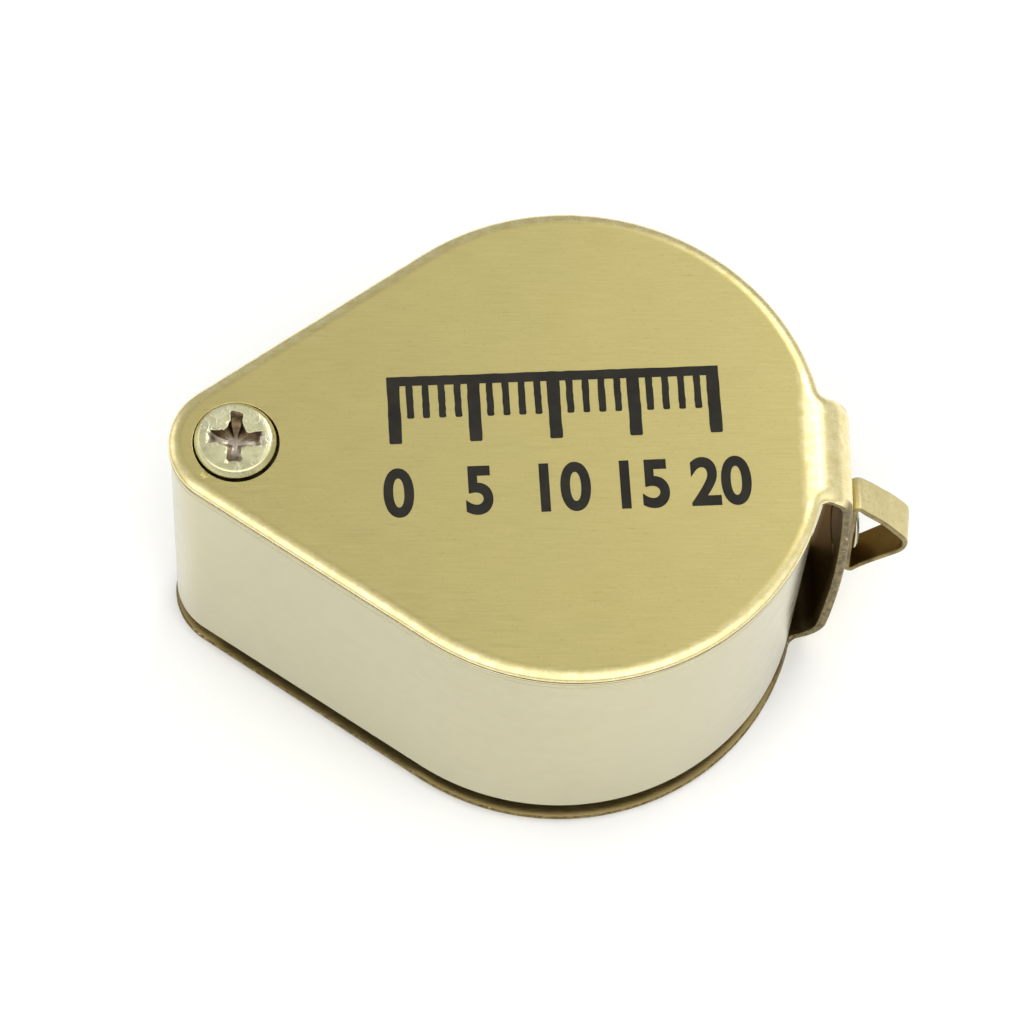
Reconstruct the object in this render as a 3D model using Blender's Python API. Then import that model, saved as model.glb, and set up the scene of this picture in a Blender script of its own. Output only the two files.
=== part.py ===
"""Folding hand lens: a one-piece folded sheet cover, a drawn metal lens housing
that swings out of it on a screwed pivot, a cemented three-element lens in a
blackened barrel, and a swivelling strip bail riveted to the spine of the cover.

Frame: +Z up, sizes in millimetres, turned into metres when a mesh is made.
The lens axis (housing closed) is the Z axis, the pivot lies on -X, the spine of
the cover and its bail lie on +X. The origin is where the lens axis meets the
underside of the lower plate. Heights in the script count from near the lowest
edge of the cover instead, and place() and make() take the difference, FOOT_Z, off.
"""

from math import acos, atan, atan2, cos, pi, radians, sin, sqrt, tan

import bmesh
import bpy
from mathutils import Matrix, Vector

for old in list(bpy.data.objects):
    bpy.data.objects.remove(old)

# ---------------------------------------------------------------- shared dimensions (mm)
MM = 0.001
GAP = 0.06              # play between pieces that touch
OVERRUN = 1.0           # cutters run past a face by this, or by a multiple of it
SEG_BIG = 68            # segments of the wide end of the teardrop
SEG_TIP = 22            # segments of its pointed end
SEG_ROUND = 48          # segments of a turned piece
SEG_PIVOT = 32
SEG_SCREW = 40
SEG_RIVET = 28
SEG_BAIL_HOLE = 24
SHARP_ANGLE = radians(32)

# cover: one folded strip of sheet
COVER_R = 16.0          # wide end of the teardrop
COVER_TIP_R = 4.16      # pointed end of the teardrop
PIVOT_D = 20.86         # pivot axis to lens axis
PIVOT = (-PIVOT_D, 0.0)
TIP_LEAN = acos((COVER_R - COVER_TIP_R) / PIVOT_D)   # half the angle of the tip's arc
COVER_H = 25.04         # overall height at the spine
SHEET = 0.70            # sheet thickness
HALF_SHEET = SHEET / 2
UPPER_PLATE_Z = COVER_H - SHEET   # underside of the upper plate
EDGE_W = 0.50           # rolled outer edge of the sheet: width on the face
EDGE_H = 0.30           # and height on the cut side
EDGE_STEPS = 4
EDGE_BREAK = 0.08       # broken inner edge of the sheet
SPINE_Y = -0.30         # the spine stands a little to one side of the centre line
SPINE_TOP_W = 3.58      # half width of the spine at the upper plate
SPINE_LOW_W = 2.82      # and at the lower plate
SPINE_FILLET = 0.65     # fillet between plate outline and spine
FILLET_STEPS = 4
BEND_START = 15.32      # the upper plate is flat up to here
TOP_BEND_R = 2.38       # outer radius of the upper bend
TOP_BEND = radians(84.7)
LOW_BEND_R = 3.35       # outer radius of the lower bend
LOW_BEND = radians(87.6)
BEND_STEPS = 8
SPINE_STEPS = 6
SPLAY = 0.021           # rise of the lower plate per mm towards the pivot
LOW_END_Z = 0.002       # outer face of the lower plate where the bend ends

# housing: drawn tub with a lid
HOUSING_INSET = 0.12    # housing outline inside the cover outline
HOUSING_Z0 = 2.60
HOUSING_WALL = 0.60
FLOOR_Z = HOUSING_Z0 + HOUSING_WALL   # inside of the tub's floor
TUB_Z1 = 23.34
TUB_FOOT_R = 0.45       # rounding of the tub's foot
TUB_FOOT_STEPS = 3
TUB_RIM_BREAK = 0.08
LID_Z0 = 23.40
LID_Z1 = 23.90
LID_STEP = 0.55         # locating step under the lid
LID_STEP_BREAK = 0.10
LID_EDGE = 0.15         # rounding of the lid's upper edge
APERTURE_R = 11.45      # holes in tub and lid for the barrel
PIVOT_HOLE_R = 2.36

# barrel and bush locate between these two heights with their shoulders
SHOULDER_Z0 = FLOOR_Z + GAP
SHOULDER_Z1 = LID_Z0 - LID_STEP - GAP

# rivet sizes, shared by the cover and the bail
BAIL_Z = 12.85
RIVET_R = 0.80
RIVET_SINK_R = 1.30     # its inner end, sunk flush into the spine
RIVET_SINK_H = 0.38     # height of the sunk cone

# pivot sizes, shared by the cover and the pivot pieces
POST_R = 1.90
POST_HEAD_R = 2.45
SCREW_R = 1.25


# ---------------------------------------------------------------- materials
def material(name, colour, metallic, roughness, transmission=0.0):
    mat = bpy.data.materials.new(name)
    mat.use_nodes = True
    inputs = mat.node_tree.nodes["Principled BSDF"].inputs
    inputs["Base Color"].default_value = (*colour, 1.0)
    inputs["Metallic"].default_value = metallic
    inputs["Roughness"].default_value = roughness
    inputs["Transmission Weight"].default_value = transmission
    mat.diffuse_color = (*colour, 1.0)
    return mat


GOLD = material("satin_gold_plate", colour=(0.55, 0.46, 0.20), metallic=1.0, roughness=0.32)
NICKEL = material("polished_nickel", colour=(0.62, 0.58, 0.48), metallic=1.0, roughness=0.16)
BLACKENED = material("blackened_metal", colour=(0.02, 0.02, 0.02), metallic=0.4, roughness=0.5)
GLASS = material("lens_glass", colour=(0.95, 0.97, 0.98), metallic=0.0, roughness=0.02,
                 transmission=1.0)
SCREW_METAL = material("zinc_screw", colour=(0.66, 0.62, 0.42), metallic=1.0, roughness=0.30)
BRASS = material("turned_brass", colour=(0.60, 0.47, 0.22), metallic=1.0, roughness=0.28)
NYLON = material("nylon", colour=(0.78, 0.77, 0.72), metallic=0.0, roughness=0.5)
SPRING = material("spring_steel", colour=(0.50, 0.50, 0.50), metallic=1.0, roughness=0.30)


# ---------------------------------------------------------------- scene helpers
def place(name, x, y, z):
    """An empty that marks the axis of a moving group."""
    node = bpy.data.objects.new(name, None)
    node.location = (x * MM, y * MM, (z - FOOT_Z) * MM)
    node.empty_display_size = 0.004
    bpy.context.scene.collection.objects.link(node)
    return node


def make(name, bm, mat=None, parent=None):
    """An object from a bmesh in millimetres; without a material it is a hidden cutter.

    Its origin is its parent's, so a moving piece turns about the axis that its
    parent empty marks.
    """
    bmesh.ops.recalc_face_normals(bm, faces=bm.faces)
    shift = Vector((0, 0, FOOT_Z * MM))
    if parent:
        shift += parent.location
    bm.transform(Matrix.Translation(-shift) @ Matrix.Scale(MM, 4))
    mesh = bpy.data.meshes.new(name)
    bm.to_mesh(mesh)
    bm.free()
    obj = bpy.data.objects.new(name, mesh)
    bpy.context.scene.collection.objects.link(obj)
    obj.parent = parent
    if mat:
        mesh.materials.append(mat)
        mesh.shade_smooth()
        mesh.set_sharp_from_angle(angle=SHARP_ANGLE)
    else:
        obj.hide_render = True
        obj.display_type = "WIRE"
    return obj


def cut(obj, *cutters):
    for cutter in cutters:
        mod = obj.modifiers.new("cut_" + cutter.name, "BOOLEAN")
        mod.operation = "DIFFERENCE"
        mod.solver = "EXACT"
        mod.object = cutter


# ---------------------------------------------------------------- mesh builders
def lathe(profile, segments=SEG_ROUND, centre=(0.0, 0.0), along_x=False):
    """A closed solid of revolution from a closed loop of (radius, height).

    It turns about a Z axis through centre (x, y), or, with along_x, about an
    X axis through centre (y, z).
    """
    bm = bmesh.new()
    rings = []
    for radius, height in profile:
        ring = []
        for i in range(1 if abs(radius) < 1e-9 else segments):
            angle = 2 * pi * i / segments
            across = centre[0] + radius * cos(angle)
            aside = centre[1] + radius * sin(angle)
            point = (height, across, aside) if along_x else (across, aside, height)
            ring.append(bm.verts.new(point))
        rings.append(ring)
    for k, lower in enumerate(rings):
        upper = rings[(k + 1) % len(rings)]
        if len(lower) == 1 and len(upper) == 1:
            continue
        for i in range(segments):
            j = (i + 1) % segments
            if len(lower) == 1:
                bm.faces.new((lower[0], upper[i], upper[j]))
            elif len(upper) == 1:
                bm.faces.new((lower[i], upper[0], lower[j]))
            else:
                bm.faces.new((lower[i], upper[i], upper[j], lower[j]))
    return bm


def about_rivet(profile, segments=SEG_RIVET):
    return lathe(profile, segments, centre=(SPINE_Y, BAIL_Z), along_x=True)


def oblong(inner, outer, low, high):
    """Profile of a plain ring, or of a plain disc where inner is 0."""
    return [(inner, low), (outer, low), (outer, high), (inner, high)]


def arc(radius, start, sweep, steps, centre=(0.0, 0.0)):
    """Outline points with outward normals, as (x, y, normal x, normal y)."""
    points = []
    for i in range(steps + 1):
        angle = start + sweep * i / steps
        c, s = cos(angle), sin(angle)
        points.append((centre[0] + radius * c, centre[1] + radius * s, c, s))
    return points


def skin(bm, rings, closed=False):
    """Quads between neighbouring rings, and from the last to the first if closed."""
    following = rings[1:] + rings[:1] if closed else rings[1:]
    for lower, upper in zip(rings, following):
        for i in range(len(lower)):
            j = (i + 1) % len(lower)
            bm.faces.new((lower[i], lower[j], upper[j], upper[i]))


def plate_stack(outline, levels):
    """A solid through copies of the outline at levels of (inset, z), in order."""
    bm = bmesh.new()
    rings = [[bm.verts.new((x - nx * inset, y - ny * inset, z)) for x, y, nx, ny in outline]
             for inset, z in levels]
    skin(bm, rings)
    bm.faces.new(list(reversed(rings[0])))
    bm.faces.new(rings[-1])
    return bm


def slot_box(name, centre_x, half_length, half_width, low, high, parent=None):
    """Cutter for a slot along X."""
    bm = bmesh.new()
    bmesh.ops.create_cube(bm, size=1.0)
    bm.transform(Matrix.Translation((centre_x, 0, (low + high) / 2))
                 @ Matrix.Diagonal((2 * half_length, 2 * half_width, high - low, 1)))
    return make(name, bm, parent=parent)


# ---------------------------------------------------------------- cover
# The strip is drawn flat, with "along" its length and y across it, and then bent
# through three arcs: the upper bend, the slightly bowed spine and the lower bend.
TURN_ALL = pi + atan(SPLAY)
SPINE_BOW = TURN_ALL - TOP_BEND - LOW_BEND
SPINE_END_TURN = TOP_BEND + SPINE_BOW
TOP_MID_R = TOP_BEND_R - HALF_SHEET           # radii of the middle surface
LOW_MID_R = LOW_BEND_R - HALF_SHEET
SPINE_MID_R = (COVER_H - SHEET - LOW_END_Z - TOP_MID_R * (1 - cos(TOP_BEND))
               - LOW_MID_R * (cos(SPINE_END_TURN) - cos(TURN_ALL))) / (
                   cos(TOP_BEND) - cos(SPINE_END_TURN))
SPINE_START = BEND_START + TOP_MID_R * TOP_BEND
LOW_BEND_START = SPINE_START + SPINE_MID_R * SPINE_BOW
LOW_PLATE_START = LOW_BEND_START + LOW_MID_R * LOW_BEND
BENDS = (               # start, end, radius, steps
    (BEND_START, SPINE_START, TOP_MID_R, BEND_STEPS),
    (SPINE_START, LOW_BEND_START, SPINE_MID_R, SPINE_STEPS),
    (LOW_BEND_START, LOW_PLATE_START, LOW_MID_R, BEND_STEPS),
)


def middle(along):
    """Middle surface of the bent strip: x, z and how far it has turned."""
    x, z, turned = min(along, BEND_START), COVER_H - HALF_SHEET, 0.0
    for start, end, radius, _ in BENDS:
        if along > start:
            now = turned + (min(along, end) - start) / radius
            x += radius * (sin(now) - sin(turned))
            z += radius * (cos(now) - cos(turned))
            turned = now
    if along > LOW_PLATE_START:
        x += (along - LOW_PLATE_START) * cos(turned)
        z -= (along - LOW_PLATE_START) * sin(turned)
    return x, z, turned


def bent(along, y, outward):
    """Folds up a point of the flat strip, outward from its middle surface."""
    x, z, turned = middle(along)
    return x + outward * sin(turned), y, z + outward * cos(turned)


LOW_X = middle(LOW_PLATE_START)[0]
LENS_ALONG = LOW_PLATE_START + LOW_X / cos(atan(SPLAY))   # lens axis on the lower plate
# outer face of the spine, where it stands furthest out
SPINE_X = middle(SPINE_START + SPINE_MID_R * (pi / 2 - TOP_BEND))[0] + HALF_SHEET


def low_plate_z(x):
    """Outer (lower) surface of the lower plate."""
    return LOW_END_Z + SPLAY * (LOW_X - x)


FOOT_Z = low_plate_z(0.0)
PIVOT_FOOT_Z = low_plate_z(-PIVOT_D)

# countersinks at the pivot: wall depth, depth of the whole sink, play at the bore
SCREW_SINK_R = 2.80
SCREW_SINK_WALL = 0.34
SCREW_SINK_DEPTH = 0.62
SCREW_BORE_PLAY = 0.26
POST_SINK_PLAY = 0.10
POST_SINK_WALL = 0.14
POST_SINK_DEPTH = 0.58
POST_BORE_PLAY = 0.07


def side_pattern(half_width):
    """One side of a plate's outline, from the edge of the spine to the tip's tangent."""
    fillet_y = half_width + SPINE_FILLET
    fillet_x = sqrt((COVER_R + SPINE_FILLET) ** 2 - fillet_y ** 2)
    meet = atan2(fillet_y, fillet_x)
    fillet = arc(SPINE_FILLET, -pi / 2, meet - pi / 2, FILLET_STEPS, (fillet_x, fillet_y))
    concave = [(x, y, -nx, -ny) for x, y, nx, ny in fillet[:-1]]
    return concave + arc(COVER_R, meet, pi - TIP_LEAN - meet, SEG_BIG // 2)


def tip_arc(radius):
    return arc(radius, pi - TIP_LEAN, 2 * TIP_LEAN, SEG_TIP, PIVOT)


def plate_pattern(left_width, right_width):
    """Outline of one plate, anticlockwise from the +Y edge of the spine to its -Y edge."""
    right = [(x, -y, nx, -ny) for x, y, nx, ny in reversed(side_pattern(right_width))]
    return side_pattern(left_width) + tip_arc(COVER_TIP_R) + right


def build_cover():
    upper = plate_pattern(SPINE_TOP_W + SPINE_Y, SPINE_TOP_W - SPINE_Y)
    lower = [(LENS_ALONG - x, -y, -nx, -ny) for x, y, nx, ny in
             plate_pattern(SPINE_LOW_W - SPINE_Y, SPINE_LOW_W + SPINE_Y)]
    levels = [(EDGE_BREAK, -HALF_SHEET), (0.0, -HALF_SHEET + EDGE_BREAK),
              (0.0, HALF_SHEET - EDGE_H)]
    for k in range(1, EDGE_STEPS + 1):
        angle = pi / 2 * k / EDGE_STEPS
        levels.append((EDGE_W * (1 - cos(angle)), HALF_SHEET - EDGE_H + EDGE_H * sin(angle)))
    bm = plate_stack(upper + lower, levels)
    # Crease lines across the strip, so that it can bend there.
    lines = [BEND_START]
    for start, end, _, steps in BENDS:
        lines += [start + (end - start) * i / steps for i in range(1, steps + 1)]
    for along in lines:
        bmesh.ops.bisect_plane(
            bm, geom=bm.verts[:] + bm.edges[:] + bm.faces[:], dist=1e-6,
            plane_co=(along, 0, 0), plane_no=(1, 0, 0))
    for vert in bm.verts:
        vert.co = bent(*vert.co)
    return bm


def upper_countersink():
    bore_r = SCREW_R + SCREW_BORE_PLAY
    return lathe([
        (0, COVER_H + OVERRUN), (SCREW_SINK_R, COVER_H + OVERRUN),
        (SCREW_SINK_R, COVER_H - SCREW_SINK_WALL), (bore_r, COVER_H - SCREW_SINK_DEPTH),
        (bore_r, COVER_H - 2 * OVERRUN), (0, COVER_H - 2 * OVERRUN)], centre=PIVOT)


def lower_countersink():
    sink_r = POST_HEAD_R + POST_SINK_PLAY
    bore_r = POST_R + POST_BORE_PLAY
    return lathe([
        (0, PIVOT_FOOT_Z - OVERRUN), (sink_r, PIVOT_FOOT_Z - OVERRUN),
        (sink_r, PIVOT_FOOT_Z + POST_SINK_WALL), (bore_r, PIVOT_FOOT_Z + POST_SINK_DEPTH),
        (bore_r, PIVOT_FOOT_Z + 2 * OVERRUN), (0, PIVOT_FOOT_Z + 2 * OVERRUN)], centre=PIVOT)


def rivet_hole():
    sink_r = RIVET_SINK_R + GAP
    bore_r = RIVET_R + GAP
    inner_face = SPINE_X - SHEET
    return about_rivet([
        (0, SPINE_X - 3 * OVERRUN), (sink_r, SPINE_X - 3 * OVERRUN), (sink_r, inner_face),
        (bore_r, inner_face + RIVET_SINK_H), (bore_r, SPINE_X + OVERRUN), (0, SPINE_X + OVERRUN)])


cover = make("cover", build_cover(), GOLD)
cut(cover,
    make("upper_countersink", upper_countersink()),
    make("lower_countersink", lower_countersink()),
    make("rivet_hole", rivet_hole()))

# ---------------------------------------------------------------- housing (swings on the pivot)
housing_axis = place("housing_axis", -PIVOT_D, 0, 0)
HOUSING_OUTLINE = (
    arc(COVER_R - HOUSING_INSET, TIP_LEAN - pi, 2 * (pi - TIP_LEAN), SEG_BIG)
    + tip_arc(COVER_TIP_R - HOUSING_INSET))


def build_tub():
    """Drawn tub: rounded foot, plain wall, flat floor."""
    levels = []
    for k in range(TUB_FOOT_STEPS + 1):
        angle = pi / 2 * k / TUB_FOOT_STEPS
        levels.append((TUB_FOOT_R * (1 - sin(angle)), HOUSING_Z0 + TUB_FOOT_R * (1 - cos(angle))))
    levels += [(0.0, TUB_Z1 - TUB_RIM_BREAK), (TUB_RIM_BREAK, TUB_Z1),
               (HOUSING_WALL, TUB_Z1), (HOUSING_WALL, FLOOR_Z)]
    return plate_stack(HOUSING_OUTLINE, levels)


def build_lid():
    step = HOUSING_WALL + GAP
    step_z = LID_Z0 - LID_STEP
    return plate_stack(HOUSING_OUTLINE, [
        (step + LID_STEP_BREAK, step_z), (step, step_z + LID_STEP_BREAK),
        (step, LID_Z0), (0.0, LID_Z0), (0.0, LID_Z1 - LID_EDGE),
        (0.3 * LID_EDGE, LID_Z1 - 0.3 * LID_EDGE), (LID_EDGE, LID_Z1)])


def cut_housing_holes(obj, prefix, low, high):
    """The barrel's aperture and the pivot hole."""
    aperture = lathe(oblong(0, APERTURE_R, low, high))
    pivot_hole = lathe(oblong(0, PIVOT_HOLE_R, low, high), SEG_PIVOT, PIVOT)
    cut(obj,
        make(prefix + "_aperture", aperture, parent=housing_axis),
        make(prefix + "_pivot_hole", pivot_hole, parent=housing_axis))


tub = make("housing_tub", build_tub(), NICKEL, housing_axis)
cut_housing_holes(tub, "tub", HOUSING_Z0 - OVERRUN, HOUSING_Z0 + 2 * OVERRUN)
lid = make("housing_lid", build_lid(), NICKEL, housing_axis)
cut_housing_holes(lid, "lid", LID_Z0 - 2 * OVERRUN, LID_Z1 + OVERRUN)

# ---------------------------------------------------------------- lens group
GLASS_R = 10.50
CROWN_RADIUS = 13.0     # surfaces of the middle lens
CROWN_EDGE = 1.00       # its thickness at the rim
OUTER_RADIUS = 18.0     # outer surfaces of the two meniscus lenses
MENISCUS_T = 1.80       # their thickness on the axis
CEMENT = 0.05
LENS_Z = 13.15          # middle of the lens group
CAP_STEPS = 6


def sag(radius, reach):
    """Depth of a spherical face of this radius at a distance from its axis."""
    return radius - sqrt(radius * radius - reach * reach)


CROWN_HALF = CROWN_EDGE / 2 + sag(CROWN_RADIUS, GLASS_R)   # half thickness on the axis


def cap(radius, apex_z, side):
    """Points from the axis to the rim of a spherical face. side +1 bulges up."""
    reaches = [GLASS_R * i / CAP_STEPS for i in range(CAP_STEPS + 1)]
    return [(reach, apex_z - side * sag(radius, reach)) for reach in reaches]


def build_crown():
    upper = cap(CROWN_RADIUS, LENS_Z + CROWN_HALF, +1)
    lower = cap(CROWN_RADIUS, LENS_Z - CROWN_HALF, -1)
    return lathe(upper + lower[::-1])


def build_meniscus(side):
    """side +1 is the eye lens above the middle one, -1 the object lens below it."""
    inner_z = LENS_Z + side * (CROWN_HALF + CEMENT)
    outer = cap(OUTER_RADIUS, inner_z + side * MENISCUS_T, side)
    inner = cap(CROWN_RADIUS, inner_z, side)
    return lathe(outer + inner[::-1])


make("middle_lens", build_crown(), GLASS, housing_axis)
make("eye_lens", build_meniscus(+1), GLASS, housing_axis)
make("object_lens", build_meniscus(-1), GLASS, housing_axis)

# ---------------------------------------------------------------- barrel and its rings
BARREL_R = 12.10
BARREL_SPIGOT_R = 11.38
BARREL_BORE_R = 10.56
BARREL_SEAT_R = 9.60
BARREL_Z0 = 2.66
BARREL_Z1 = 23.84
BARREL_EDGE = 0.20      # chamfer of its upper outer edge
BARREL_BORE_EDGE = 0.15
SEAT_LAND = 0.60        # height of the narrow bore under the seat
MOUTH_H = 1.60          # straight part of the mouth
SEAT_PLAY = 0.10        # between the glass and the seat

OUTER_APEX = CROWN_HALF + CEMENT + MENISCUS_T
RIM = OUTER_APEX - sag(OUTER_RADIUS, GLASS_R)         # glass rim, from the middle
SEAT = OUTER_APEX - sag(OUTER_RADIUS, BARREL_SEAT_R)  # glass at the seat radius

GASKET_PLAY = 0.05      # above the glass
GASKET_RIM_LIFT = 0.02  # extra play at the rim
GASKET_R = GLASS_R - 0.04
GASKET_Z0 = LENS_Z + SEAT + GASKET_PLAY
GASKET_Z1 = GASKET_Z0 + 0.45

RING_R = GLASS_R - 0.02
RING_Z0 = GASKET_Z1 + GAP
RING_SECTION = (        # radius, height above the underside of the ring
    (9.35, 0.25), (9.6, 0.0), (RING_R, 0.0), (RING_R, 1.5), (9.9, 1.5), (9.35, 0.95))
SPANNER_SLOT_FLOOR = 0.9
SPANNER_SLOT_TOP = 2.0
SPANNER_SLOT_HALF_W = 0.6
SPANNER_SLOT_REACH = 12

TRIM_BORE_R = BARREL_SPIGOT_R + GAP + 0.05
TRIM_R = 12.45
TRIM_T = 0.16
TRIM_LIFT = 0.04        # off the housing face
TRIM_EDGE = 0.09


def build_barrel():
    """Tube with a shoulder at each end that the tub and the lid locate on, a lens
    seat and a flared mouth below, and a plain bore above."""
    seat_z = LENS_Z - SEAT - SEAT_PLAY
    return lathe([
        (BARREL_SPIGOT_R, BARREL_Z0), (BARREL_SPIGOT_R, SHOULDER_Z0), (BARREL_R, SHOULDER_Z0),
        (BARREL_R, SHOULDER_Z1), (BARREL_SPIGOT_R, SHOULDER_Z1),
        (BARREL_SPIGOT_R, BARREL_Z1 - BARREL_EDGE), (BARREL_SPIGOT_R - BARREL_EDGE, BARREL_Z1),
        (BARREL_BORE_R + BARREL_BORE_EDGE, BARREL_Z1),
        (BARREL_BORE_R, BARREL_Z1 - BARREL_BORE_EDGE),
        (BARREL_BORE_R, LENS_Z - RIM - SEAT_PLAY), (BARREL_SEAT_R, seat_z),
        (BARREL_SEAT_R, seat_z - SEAT_LAND), (BARREL_BORE_R, BARREL_Z0 + MOUTH_H),
        (BARREL_BORE_R, BARREL_Z0)])


def build_gasket():
    """Ring between the glass and the retaining ring."""
    return lathe([
        (BARREL_SEAT_R, GASKET_Z0), (GASKET_R, LENS_Z + RIM + GASKET_PLAY + GASKET_RIM_LIFT),
        (GASKET_R, GASKET_Z1), (BARREL_SEAT_R, GASKET_Z1)])


def build_trim_ring(face_z, side):
    """Covers the joint between barrel and housing; side +1 lies above the face."""
    near = face_z + side * TRIM_LIFT
    far = near + side * TRIM_T
    return lathe([(TRIM_BORE_R, near), (TRIM_R, near), (TRIM_R, (near + far) / 2),
                  (TRIM_R - TRIM_EDGE, far), (TRIM_BORE_R, far)])


make("lens_barrel", build_barrel(), BLACKENED, housing_axis)
make("lens_gasket", build_gasket(), NYLON, housing_axis)
retaining_ring = make(
    "lens_retaining_ring", lathe([(radius, RING_Z0 + up) for radius, up in RING_SECTION]),
    BLACKENED, housing_axis)
cut(retaining_ring, slot_box(
    "spanner_slots", centre_x=0, half_length=SPANNER_SLOT_REACH, half_width=SPANNER_SLOT_HALF_W,
    low=RING_Z0 + SPANNER_SLOT_FLOOR, high=RING_Z0 + SPANNER_SLOT_TOP, parent=housing_axis))
make("eye_trim_ring", build_trim_ring(LID_Z1, +1), BLACKENED, housing_axis)
make("object_trim_ring", build_trim_ring(HOUSING_Z0, -1), BLACKENED, housing_axis)

# ---------------------------------------------------------------- pivot
BUSH_BORE_R = 1.96
BUSH_R = 2.65
BUSH_SPIGOT_R = 2.30
BUSH_INSET = 0.03       # its ends lie this far inside the housing faces

POST_Z0 = PIVOT_FOOT_Z + 0.09
POST_HEAD_EDGE = 0.06
POST_CONE_H = 0.50      # top of the head's cone
POST_NECK = 0.02        # the cone ends this far inside the shank
POST_SHANK_H = 0.56     # full shank starts here
POST_TOP_EDGE_H = 0.15  # chamfer starts this far below the upper plate
POST_TOP_EDGE_W = 0.10
POST_BORE_DEPTH = 9.2   # from the top of the cover
POST_BORE_TIP = 9.9
POST_SLOT_DEPTH = 0.32
POST_SLOT_HALF_W = 0.3
POST_SLOT_REACH = 4

SCREW_HEAD_R = 2.40
SCREW_HEAD_Z = COVER_H + 0.52
SCREW_DOME = (          # radius, depth below the top of the head
    (0, 0.0), (1.5, 0.015), (SCREW_HEAD_R - 0.16, 0.06), (SCREW_HEAD_R - 0.04, 0.12),
    (SCREW_HEAD_R, 0.22))
SCREW_BODY = (          # radius, depth below the top of the cover
    (SCREW_HEAD_R, -0.02), (SCREW_R + 0.18, 0.60), (SCREW_R, 0.68), (SCREW_R, 8.1),
    (SCREW_R - 0.45, 8.6), (0, 8.6))
RECESS_ARM = ((1.52, -0.42), (1.52, 0.42), (0.80, 0.50), (0.50, 0.80))   # x, y of one arm
RECESS_TURN = radians(-6)
RECESS_DEPTH = 0.95
RECESS_LEVELS = ((1.08, 0.3), (1.0, 0.0), (0.62, -0.75 * RECESS_DEPTH))  # scale, height

WASHER_BORE_R = 2.0
FLAT_WASHER_R = 3.5
THRUST_WASHER_R = 3.3
THRUST_WASHER_Z1 = HOUSING_Z0 - GAP
THRUST_WASHER_Z0 = THRUST_WASHER_Z1 - 0.22
WAVE_BORE_R = 2.05
WAVE_R = 3.2
WAVE_T = 0.12
WAVE_Z0 = SHEET + PIVOT_FOOT_Z + 0.10
WAVE_Z1 = THRUST_WASHER_Z0 - GAP
WAVES = 3


def build_bush():
    low, high = HOUSING_Z0 + BUSH_INSET, LID_Z1 - BUSH_INSET
    return lathe([
        (BUSH_BORE_R, low), (BUSH_SPIGOT_R, low), (BUSH_SPIGOT_R, SHOULDER_Z0),
        (BUSH_R, SHOULDER_Z0), (BUSH_R, SHOULDER_Z1), (BUSH_SPIGOT_R, SHOULDER_Z1),
        (BUSH_SPIGOT_R, high), (BUSH_BORE_R, high)], SEG_PIVOT, PIVOT)


def build_post():
    """Countersunk head below, shank, and a blind bore for the screw from above."""
    top = UPPER_PLATE_Z - GAP
    bore_r = SCREW_R + GAP
    return lathe([
        (0, POST_Z0), (POST_HEAD_R - POST_HEAD_EDGE, POST_Z0),
        (POST_HEAD_R, POST_Z0 + POST_HEAD_EDGE), (POST_R - POST_NECK, POST_Z0 + POST_CONE_H),
        (POST_R, POST_Z0 + POST_SHANK_H), (POST_R, UPPER_PLATE_Z - POST_TOP_EDGE_H),
        (POST_R - POST_TOP_EDGE_W, top), (bore_r, top), (bore_r, COVER_H - POST_BORE_DEPTH),
        (0, COVER_H - POST_BORE_TIP)], SEG_PIVOT, PIVOT)


def build_screw():
    return lathe([(radius, SCREW_HEAD_Z - depth) for radius, depth in SCREW_DOME]
                 + [(radius, COVER_H - depth) for radius, depth in SCREW_BODY],
                 SEG_SCREW, PIVOT)


def build_recess():
    """Tapered four-armed driver recess."""
    bm = bmesh.new()
    plan = []
    for quarter in range(4):
        angle = pi / 2 * quarter + RECESS_TURN
        c, s = cos(angle), sin(angle)
        plan += [(x * c - y * s, x * s + y * c) for x, y in RECESS_ARM]
    rings = [[bm.verts.new((PIVOT[0] + x * scale, PIVOT[1] + y * scale, SCREW_HEAD_Z + up))
              for x, y in plan] for scale, up in RECESS_LEVELS]
    skin(bm, rings)
    bm.faces.new(rings[0])
    tip = bm.verts.new((*PIVOT, SCREW_HEAD_Z - RECESS_DEPTH))
    floor = rings[-1]
    for i in range(len(floor)):
        bm.faces.new((floor[i], floor[(i + 1) % len(floor)], tip))
    return bm


def build_wave_washer():
    """Three-wave spring washer that gives the hinge its drag."""
    bm = bmesh.new()
    mid, swing = (WAVE_Z0 + WAVE_Z1) / 2, (WAVE_Z1 - WAVE_Z0 - WAVE_T) / 2
    rings = []
    for radius, side in ((WAVE_BORE_R, -1), (WAVE_R, -1), (WAVE_R, 1), (WAVE_BORE_R, 1)):
        ring = []
        for i in range(SEG_ROUND):
            angle = 2 * pi * i / SEG_ROUND
            z = mid + swing * cos(WAVES * angle + pi) + side * WAVE_T / 2
            ring.append(bm.verts.new((PIVOT[0] + radius * cos(angle), radius * sin(angle), z)))
        rings.append(ring)
    skin(bm, rings, closed=True)
    return bm


def pivot_washer(name, radius, low, high):
    make(name, lathe(oblong(WASHER_BORE_R, radius, low, high), SEG_PIVOT, PIVOT), NYLON)


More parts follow.
